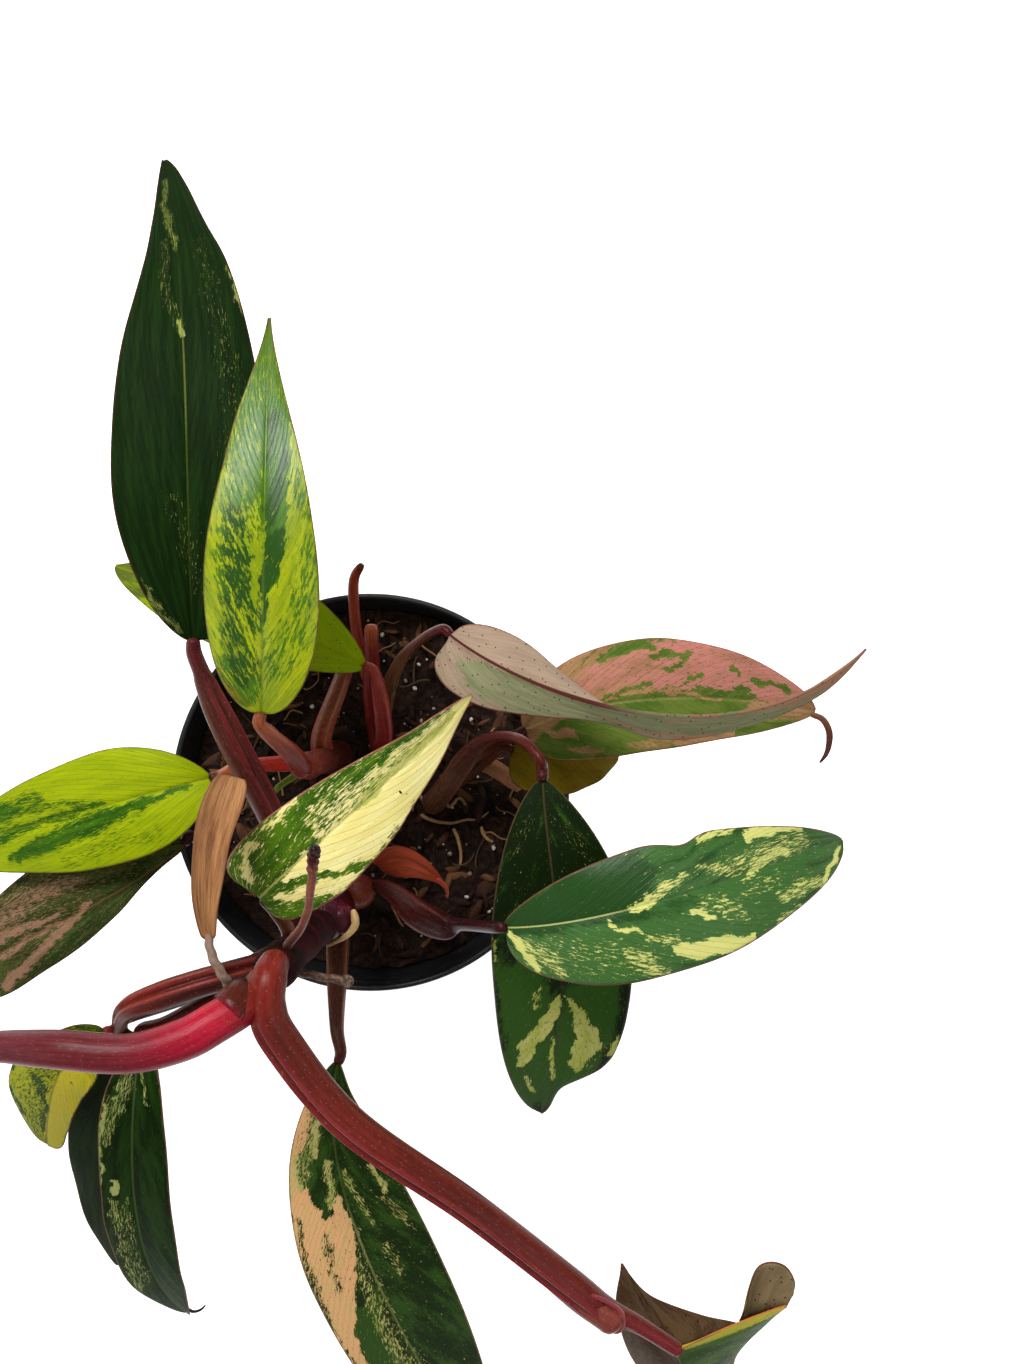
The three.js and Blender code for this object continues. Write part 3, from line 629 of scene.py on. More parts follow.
def stalk_part(rows, tones, up=UP, steps=10, edge=None, rings=(), dry=0.0, ripple=0.0,
               seam=(-0.8, 0.8), flank=None, sides=44):
    """A section carried through rows of [x, y, z, radius, wing].

    The reach is radius * (1 + wing * (narrow bell at each seam angle - 0.7 * wide bell between
    them)): a groove between two thin wings. Seam angles are measured from the top. The flank
    colour takes over on the side of the negative angles, and the edge colour on the wings. Rings
    are (row, height, width): the radius grows by height * exp(-((t - row) / width)^2). Both ends
    are drawn in to a pole. Tones are colours in order from start to end.
    """
    table = np.array([list(r) + [0] * (5 - len(r)) for r in rows], float)
    t = np.linspace(0, len(table) - 1, (len(table) - 1) * steps + 1)
    centre = through(table[:, :3], t)
    size = through(table[:, 3:5], t)
    radius, wing = np.maximum(size[:, :1], LEAST_RADIUS), np.maximum(size[:, 1:], 0)
    for row, height, width in rings:
        radius = radius + height * np.exp(-((t[:, None] - row) / width) ** 2)
    along = unit(np.gradient(centre, axis=0))
    top = unit(np.array(up) - along * (along @ np.array(up))[:, None])
    side = np.cross(along, top)
    angle = np.linspace(-np.pi, np.pi, sides, endpoint=False)[None, :]
    ridge = sum(np.exp(-((angle - at) / RIDGE_BREADTH) ** 2) for at in seam)
    groove = np.exp(-((angle - sum(seam) / 2) / (0.3 * (seam[1] - seam[0]))) ** 2)
    reach = radius * (1 + wing * (ridge - GROOVE_DEPTH * groove))
    reach = reach * (1 + ripple * np.sin(t[:, None] * 9 + 2 * np.sin(angle)))
    inner = np.clip(np.arange(len(t)), len(CAP) - 1, len(t) - len(CAP))
    middle, along, top, side, reach = (x[inner] for x in (centre, along, top, side, reach))
    for k, (share, step) in enumerate(CAP):
        for at, way, end in ((k, -1, 0), (-1 - k, 1, -1)):
            middle[at] += along[at] * (way * step * radius[end, 0])
            reach[at] *= share
    ring = middle[:, None] + top[:, None] * (reach * np.cos(angle))[..., None]
    ring = ring + side[:, None] * (reach * np.sin(angle))[..., None]
    shades = np.array(tones)
    tone = through(shades, t / t[-1] * (len(shades) - 1))
    tone = np.repeat(np.clip(tone, 0, 1)[:, None], sides, 1)
    if flank is not None:
        share = rise(-angle, 0.2, 1.3)[..., None]
        tone = tone * (1 - share) + np.array(flank) * share
    if edge is not None:
        share = (np.minimum(ridge, 1) ** 2 * np.minimum(wing * 4, 1))[..., None]
        tone = tone * (1 - share) + np.array(edge) * share
    run = np.concatenate([[0], np.cumsum(np.linalg.norm(np.diff(centre, axis=0), axis=1))])
    round_mm = angle * radius.mean()
    veins = np.stack([np.broadcast_to(round_mm, reach.shape), np.repeat(run[:, None], sides, 1)], -1)
    faces = grid_faces(len(t), sides, True)
    return Part(ring, faces, tone=tone.reshape(-1, 4), veins=veins.reshape(-1, 2), dry=dry)


def leaf_stalk(leaf, neck, rows, tones, up=UP, **touch):
    """A stalk that ends in line with the blade it carries, just inside the blade's base."""
    base, ahead = np.array(BLADES[leaf]["spine"][:2], float)
    along = unit(ahead - base)
    end = [[*(base - along * 4), neck * 1.1], [*(base + along * 0.3), neck * 0.95]]
    return stalk_part(list(rows) + end, tones, up, **touch)


CRIMSON_DARK = rgb(120, 12, 34)
BRICK = rgb(106, 34, 22)
BRICK_DARK = rgb(76, 26, 18)
MAROON = rgb(70, 20, 16)
PLUM = rgb(48, 16, 19)
DUSK = rgb(34, 16, 13)
OLD_BROWN = rgb(84, 50, 28)
CORAL = rgb(122, 44, 26)
CORAL_LIGHT = rgb(150, 78, 46)
TAN_STALK = rgb(134, 92, 58)
NECK = rgb(110, 34, 38)
INK = rgb(26, 14, 14)
CREAM_SCAR = rgb(188, 160, 108)

# Blades. A blade grows along a cubic Bezier spine. Its upper side faces the first and last face
# vector at base and tip. Sides are (half width, a, b, fold pair, curl pair). Trims are pairs of
# (place along the blade, share of the width kept).

FLAT = ((0, 0, 1), (0, 0, 1))
FOLD = (0.2, 0.1)
CURL = (-0.5, -0.3)
FOOT = 1.5
TIP = 0.5
THICKNESS = 0.38
MARGIN_THINNER = 0.14
VEIN_PITCH = 1.6
RELIEF_PITCH = 3.2
UNTRIMMED = ((0, 1), (1, 1))

BLADES = {
    "leaf_01": dict(
        spine=((-43, 51, 190), (-42, 90, 206), (-41, 147, 200), (-59, 202, 160)),
        face=((0.1, 0, 1), (0.15, 0, 1)), left=(21.5, 0.8, 1.2), right=(22.5, 0.55, 0.9), lobe=4,
        left_trim=((0.5, 1), (0.6, 0.96), (0.7, 0.89), (0.8, 0.86), (0.9, 0.92), (0.97, 1.2), (1, 1.6)),
        right_trim=((0.78, 1), (0.84, 0.91), (0.9, 0.94), (0.97, 1.15), (1, 1.6))),
    "leaf_02": dict(
        spine=((-20, 30, 207), (-17, 66, 222), (-17, 99, 218), (-19, 142, 200)), left=(16.5, 0.65, 1.3),
        right=(15.5, 0.6, 1.35), lobe=3,
        left_trim=((0.5, 1), (0.65, 1.03), (0.77, 1.16), (0.87, 1.12), (1, 1)),
        right_trim=((0.3, 1), (0.5, 0.98), (0.7, 1.02), (1, 1))),
    "leaf_03": dict(
        spine=((2, 44, 148), (-22, 57, 162), (-53, 68, 150), (-84, 78, 126)), left=(13.5, 0.75, 0.7),
        right=(15.5, 0.9, 1.1)),
    "leaf_04": dict(
        spine=((-47, 8, 150), (-72, 2, 162), (-116, -11, 145), (-165, -23, 112)), left=(19.5, 0.7, 1.25),
        right=(18, 0.9, 1.5), right_trim=((0, 1), (0.3, 0.98), (0.5, 0.93), (0.7, 0.95), (1, 1))),
    "leaf_05": dict(
        spine=((-19, -20, 216), (-3, -4, 232), (17, 10, 222), (38, 35, 186)),
        face=((0, 0, 1), (0.3, -0.3, 1)), left=(15.5, 0.3, 0.85), right=(15.5, 0.42, 1), lobe=7,
        left_trim=((0, 1), (0.2, 0.93), (0.5, 0.9), (0.7, 0.84), (0.8, 0.8), (0.9, 0.84), (1, 1)),
        right_trim=((0, 0.86), (0.12, 0.84), (0.3, 0.92), (0.6, 1), (0.9, 1.04), (1, 1))),
    "leaf_06": dict(
        spine=((-58, -15, 136), (-77, -32, 146), (-118, -49, 130), (-172, -78, 100)), left=(15, 1.1, 0.75),
        right=(22, 0.6, 1.1),
        left_trim=((0, 0.3), (0.1, 0.15), (0.2, 0.32), (0.3, 0.55), (0.45, 0.72), (0.6, 0.82), (0.7, 0.97),
                   (1, 1))),
    "leaf_07": dict(
        spine=((-62, -57, 214), (-69, -58, 221), (-81, -73, 205), (-93, -103, 168)),
        face=((-0.2, 0, 1), (-0.2, -0.3, 1)), left=(11.5, 0.7, 0.5), right=(12, 0.7, 0.5),
        left_trim=((0, 1), (0.4, 0.95), (0.6, 0.78), (0.75, 0.74), (0.9, 0.8), (1, 1.2)),
        right_trim=((0, 0.6), (0.3, 0.72), (0.5, 1), (0.65, 1.25), (0.8, 1.4), (0.9, 1.3), (1, 1))),
    "leaf_08": dict(
        spine=((-52, -60, 214), (-56, -82, 210), (-68, -137, 180), (-61, -176, 122)),
        face=((0, -0.3, 1), (-0.2, -1, 0.8)), left=(11.5, 0.6, 0.45, (0.3, 0.3)),
        right=(11.5, 0.9, 0.75, (0.3, 0.3)), left_trim=((0, 1), (0.8, 1), (0.92, 0.8), (1, 0.6)),
        right_trim=((0, 1.2), (0.2, 1.12), (0.35, 0.92), (0.5, 0.82), (0.65, 0.9), (0.85, 1.04), (1, 1))),
    "leaf_09": dict(
        spine=((-61, -60, 198), (-68, -84, 186), (-80, -122, 155), (-88, -165, 110)),
        face=((0, -0.3, 1), (-0.2, -1, 0.8)), left=(14, 0.5, 0.8), right=(13.5, 0.6, 0.8)),
    "leaf_10": dict(
        spine=((-4, -79, 166), (-8, -99, 184), (1, -138, 176), (37, -233, 104)),
        face=((0, 0, 1), (0.2, -0.2, 1)), left=(23, 0.85, 0.5), right=(20, 0.95, 0.5),
        left_trim=((0, 0.6), (0.1, 0.64), (0.22, 0.82), (0.5, 0.89), (0.8, 0.95), (1, 1))),
    "leaf_11": dict(
        spine=((59, 9, 178), (60, -19, 186), (72, -60, 164), (60, -107, 126)),
        face=((0, 0, 1), (0, -0.2, 1)), left=(22.5, 0.85, 0.7), right=(21.5, 0.8, 0.55),
        left_trim=((0.68, 1), (0.76, 1.03), (0.83, 1.06), (0.87, 0.86), (0.9, 0.42), (0.93, 0.22),
                   (1, 0.4))),
    "leaf_12": dict(
        spine=((48, -33, 188), (74, -30, 206), (111, -17, 204), (150, -9, 172)), left=(16.5, 0.8, 0.8),
        right=(21.5, 0.5, 0.55), lobe=3,
        left_trim=((0.48, 1), (0.54, 0.9), (0.575, 0.8), (0.6, 0.9), (0.64, 1), (0.9, 0.96), (1, 0.9))),
    "leaf_13": dict(
        spine=((31, 53, 168), (55, 34, 186), (117, 11, 184), (159, 49, 166)),
        face=((0, 0, -1), (0, 0, -1)), left=(16, 0.35, 1, (0.1, 0.85), (0.2, 0.2)),
        right=(11, 0.5, 1, (0.2, 1.6), (0.2, 0.2)), folded_by=0.45, fold_ease=2, lobe=5,
        left_trim=((0, 1), (0.1, 0.98), (0.2, 0.86), (0.3, 0.62), (0.38, 0.45), (0.44, 0.55), (0.55, 1),
                   (0.85, 1), (1, 2)),
        right_trim=((0, 1), (0.1, 1.15), (0.25, 1.2), (0.4, 1), (0.85, 1), (1, 2))),
    "leaf_14": dict(
        spine=((54, 23, 142), (78, 36, 154), (116, 36, 150), (153, 29, 122)), left=(19.8, 0.65, 0.75),
        right=(17.2, 0.4, 0.7), left_trim=((0.5, 1), (0.7, 0.96), (0.9, 0.94), (1, 1))),
    "leaf_15": dict(
        spine=((50, 16, 134), (61, 14, 140), (76, 14, 134), (86, 13, 122)), left=(7, 0.6, 0.9),
        right=(13.5, 0.4, 0.75)),
    "leaf_17": dict(
        spine=((-81, -52, 248), (-104, -51, 256), (-146, -68, 222), (-198, -105, 150)),
        face=((0, 0, 1), (-1, 0, 0.4)), left=(20, 0.7, 1), right=(20, 0.7, 1)),
    "cataphyll_tan": dict(
        spine=((-28, -27, 236), (-29, -10, 238), (-26, 2, 237), (-23, 14, 230)),
        left=(6.4, 0.6, 0.3, (0.5, 0.3), (0.8, 0.5)), right=(6.4, 0.6, 0.3, (0.5, 0.3), (0.8, 0.5))),
    "cataphyll_rust": dict(
        spine=((4, -24.5, 120), (10, -17, 130), (20, -21, 135), (27, -29, 131)), left=(4.2, 0.45, 0.9),
        right=(6.6, 0.55, 1.1)),
}


def bezier(spine, u):
    """Cubic Bezier points and unit tangents at u."""
    a, b, c, d = (np.array(p, float) for p in spine)
    w = u[:, None]
    points = (1 - w) ** 3 * a + 3 * w * (1 - w) ** 2 * b + 3 * w * w * (1 - w) * c + w ** 3 * d
    tangent = (1 - w) ** 2 * (b - a) + 2 * w * (1 - w) * (c - b) + w * w * (d - c)
    return points, unit(tangent)


def eased(pairs, u):
    """Straight lines between pairs, averaged over a short span round each u."""
    at, value = np.array(pairs, float).T
    spans = u[..., None] + np.linspace(-0.025, 0.025, 7)
    return np.interp(spans, at, value).mean(-1)


def blade_surface(blade, u, v):
    """Mid surface of a blade at rows u and columns v, with its half widths in millimetres.

    The half width is W * u^a * (1 - u)^b, scaled to reach W, plus a narrow foot and tip. The section
    is an arc that starts at the fold angle and bends by curl radians over the half width.
    """
    points, along = bezier(blade["spine"], u)
    first, last = (np.array(f, float) for f in blade.get("face", FLAT))
    face = first + (last - first) * u[:, None]
    normal = unit(face - along * (face * along).sum(1, keepdims=True))
    across = np.cross(along, normal)
    w = u[:, None]
    place = np.zeros((len(u), len(v), 3))
    width = np.zeros((len(u), len(v)))
    for sign, key in ((-1, "left"), (1, "right")):
        half, a, b, *rest = blade[key]
        fold_pair = rest[0] if rest else FOLD
        curl_pair = rest[1] if len(rest) > 1 else CURL
        widest = a / (a + b)
        full = half * w ** a * (1 - w) ** b / (widest ** a * (1 - widest) ** b)
        full = full + FOOT * (1 - w) ** 8 + TIP * w ** 8
        full = full * eased(blade.get(key + "_trim", UNTRIMMED), w)
        own = (v < 0) if sign < 0 else (v >= 0)
        side = np.abs(v[own])[None, :]
        folded = np.minimum(1, w / blade.get("folded_by", 1)) ** blade.get("fold_ease", 1)
        fold = fold_pair[0] + (fold_pair[1] - fold_pair[0]) * folded
        curl = curl_pair[0] + (curl_pair[1] - curl_pair[0]) * w
        reach = side * full / half
        lateral = sign * half / curl * (np.sin(fold + curl * reach) - np.sin(fold))
        lift = -half / curl * (np.cos(fold + curl * reach) - np.cos(fold))
        back = blade.get("lobe", 1.5) * reach ** 2 * (1 - w) ** 3
        place[:, own] = (points[:, None] + across[:, None] * lateral[..., None]
                         + normal[:, None] * lift[..., None] - along[:, None] * back[..., None])
        width[:, own] = full
    return place, width


def surface_normals(place):
    """Unit cross products of the column and row differences of a grid."""
    rows = np.gradient(place, axis=0)
    columns = np.gradient(place, axis=1)
    return unit(np.cross(columns, rows))


def two_faced(place, normal, thick, under_extra, values):
    """A closed thin shell: upper and lower grids and a strip round the border between them."""
    rows, columns = place.shape[:2]
    upper = place + normal * (thick / 2)[..., None]
    lower = place - normal * (thick / 2 + under_extra)[..., None]
    quads = grid_faces(rows, columns)
    count = rows * columns
    border = np.concatenate([
        np.arange(columns - 1), np.arange(rows - 1) * columns + columns - 1,
        (rows - 1) * columns + np.arange(columns - 1, 0, -1), np.arange(rows - 1, 0, -1) * columns])
    after = np.roll(border, -1)
    strip = np.stack([border, border + count, after + count, after], -1)
    faces = np.concatenate([quads, quads[:, ::-1] + count, strip])
    look = np.repeat([0, 1, 0], [len(quads), len(quads), len(strip)])
    doubled = {k: np.concatenate([x.reshape(count, *x.shape[2:])] * 2) for k, x in values.items()}
    return Part(np.stack([upper, lower]), faces, look, **doubled)


FAR_AWAY = 9.0


def painted(strokes, channel, ground, x, y, width, length):
    """Brush strokes over a leaf in its own millimetres, one channel of them.

    A stroke draws the value to its level within its breadth of a line of (u, v, breadth) places,
    with u in percent of the length, v in percent of the half width and breadth in millimetres.
    Its share is 1 - smooth step of distance / breadth: wide for small letters, narrow for capitals.
    A stroke with two letters paints both of their channels.
    """
    value = np.full_like(x, ground)
    last_row = len(y) - 1
    for kind, level, *path in strokes:
        if channel not in kind.lower():
            continue
        spots = [(v / 100 * width[round(u / 100 * last_row), 0 if v < 0 else -1], u / 100 * length, b)
                 for u, v, b in path]
        nearest = np.full_like(x, FAR_AWAY)
        for (ax, ay, ab), (bx, by, bb) in zip(spots, spots[1:] or spots):
            run = (bx - ax) ** 2 + (by - ay) ** 2 + 1e-9
            t = np.clip(((x - ax) * (bx - ax) + (y - ay) * (by - ay)) / run, 0, 1)
            distance = np.hypot(x - ax - t * (bx - ax), y - ay - t * (by - ay))
            nearest = np.minimum(nearest, distance / (ab + (bb - ab) * t))
        low, high = (0.8, 1.1) if kind.isupper() else (0.3, 1.4)
        share = 1 - rise(nearest, low, high)
        value = value * (1 - share) + level * share
    return value


def blade_part(name, marks, rows=150, half_columns=23, groove=0.22):
    """A leaf blade with midrib, side veins, a wavy margin and its painted markings.

    Side veins run where u - sweep * |v|^1.15 * (1 - 0.35u) is constant. The places of the strokes
    are shaken by two sizes of value noise, so that their outlines wander.
    """
    blade = BLADES[name]
    u = np.arange(rows) / (rows - 1)
    s = np.arange(-half_columns, half_columns + 1) / half_columns
    v = np.sign(s) * np.abs(s) ** 1.2
    place, width = blade_surface(blade, u, v)
    normal = surface_normals(place)
    length = np.linalg.norm(np.diff(bezier(blade["spine"], u)[0], axis=0), axis=1).sum()
    uu, vv = u[:, None] + 0 * v[None, :], 0 * u[:, None] + v[None, :]
    sweep = marks.get("sweep", 0.4)
    q = uu - sweep * np.abs(vv) ** 1.15 * (1 - 0.35 * uu)
    from_rib = np.abs(vv) * width
    amount, waves, phase = marks.get("wave", (0.35, 4.0, 0.3))
    turn = FULL_TURN * waves * uu + phase + 1.7 * (vv < 0)
    lift = amount * np.abs(vv) ** 3 * np.sin(turn) * np.minimum(1, 5 * uu)
    lift = lift - groove * np.exp(-(from_rib / 0.8) ** 2) * np.sqrt(1 - uu)
    widest, forward = width.max(), sweep * length
    slant = np.hypot(forward, widest)
    across = q * length * widest / slant
    inside = rise(from_rib, 0.5, 3) * rise(width - from_rib, 0.2, 2)
    relief = marks.get("relief", 0.05) * np.sin(across * FULL_TURN / RELIEF_PITCH)
    place = place + normal * (lift + relief * inside)[..., None]
    thick = THICKNESS - MARGIN_THINNER * np.abs(vv) ** 4
    rib = marks.get("rib_size", 1.2) * np.exp(-from_rib ** 2) * (1 - 0.75 * uu)
    x, y = vv * width, uu * length
    shake = np.random.default_rng(5)
    x, y = (x + 1.8 * lumps(x, y, 4.0, shake) + 1.1 * lumps(x, y, 1.7, shake),
            y + 2.6 * lumps(x, y, 4.5, shake) + 1.5 * lumps(x, y, 1.9, shake))
    pale, tint, deep = marks.get("ground", (-0.2, -0.5, 0.5))
    values = dict(
        vein=across * FULL_TURN / VEIN_PITCH, rib=from_rib, edge=width * (1 - np.abs(vv)),
        ribshow=eased(marks.get("rib_line", ((0, 0.6), (1, 0.6))), uu),
        veins=np.stack([across, vv * slant], -1))
    for channel, key, ground in (("p", "pale", pale), ("t", "tint", tint), ("d", "deep", deep),
                                 ("s", "scar", 0.0)):
        values[key] = painted(marks.get("strokes", ()), channel, ground, x, y, width, length)
    return two_faced(place, normal, thick, rib, values)


# Markings. Strokes are (channel, level, (u, v, breadth), ...), with u and v in percent and breadth
# in millimetres: p pale, t tinted, d dark green, s brown spot. Ground is the level of pale, tint
# and dark green elsewhere. Greens are the dark and the light one, and pale has two tones. Sweep is
# how far side veins lean forward, wave the height, number and phase of the waves of the margin,
# and rib_line how plainly the midrib shows along the leaf.

BARE = rgb(120, 96, 66)
MARGIN = rgb(74, 38, 34)
FOREST = (rgb(13, 30, 6), rgb(21, 42, 10))
PINE = (rgb(16, 34, 8), rgb(30, 56, 14))
GRASS = (rgb(30, 66, 20), rgb(58, 98, 42))
LIME_GREENS = (rgb(30, 66, 5), rgb(62, 102, 6))

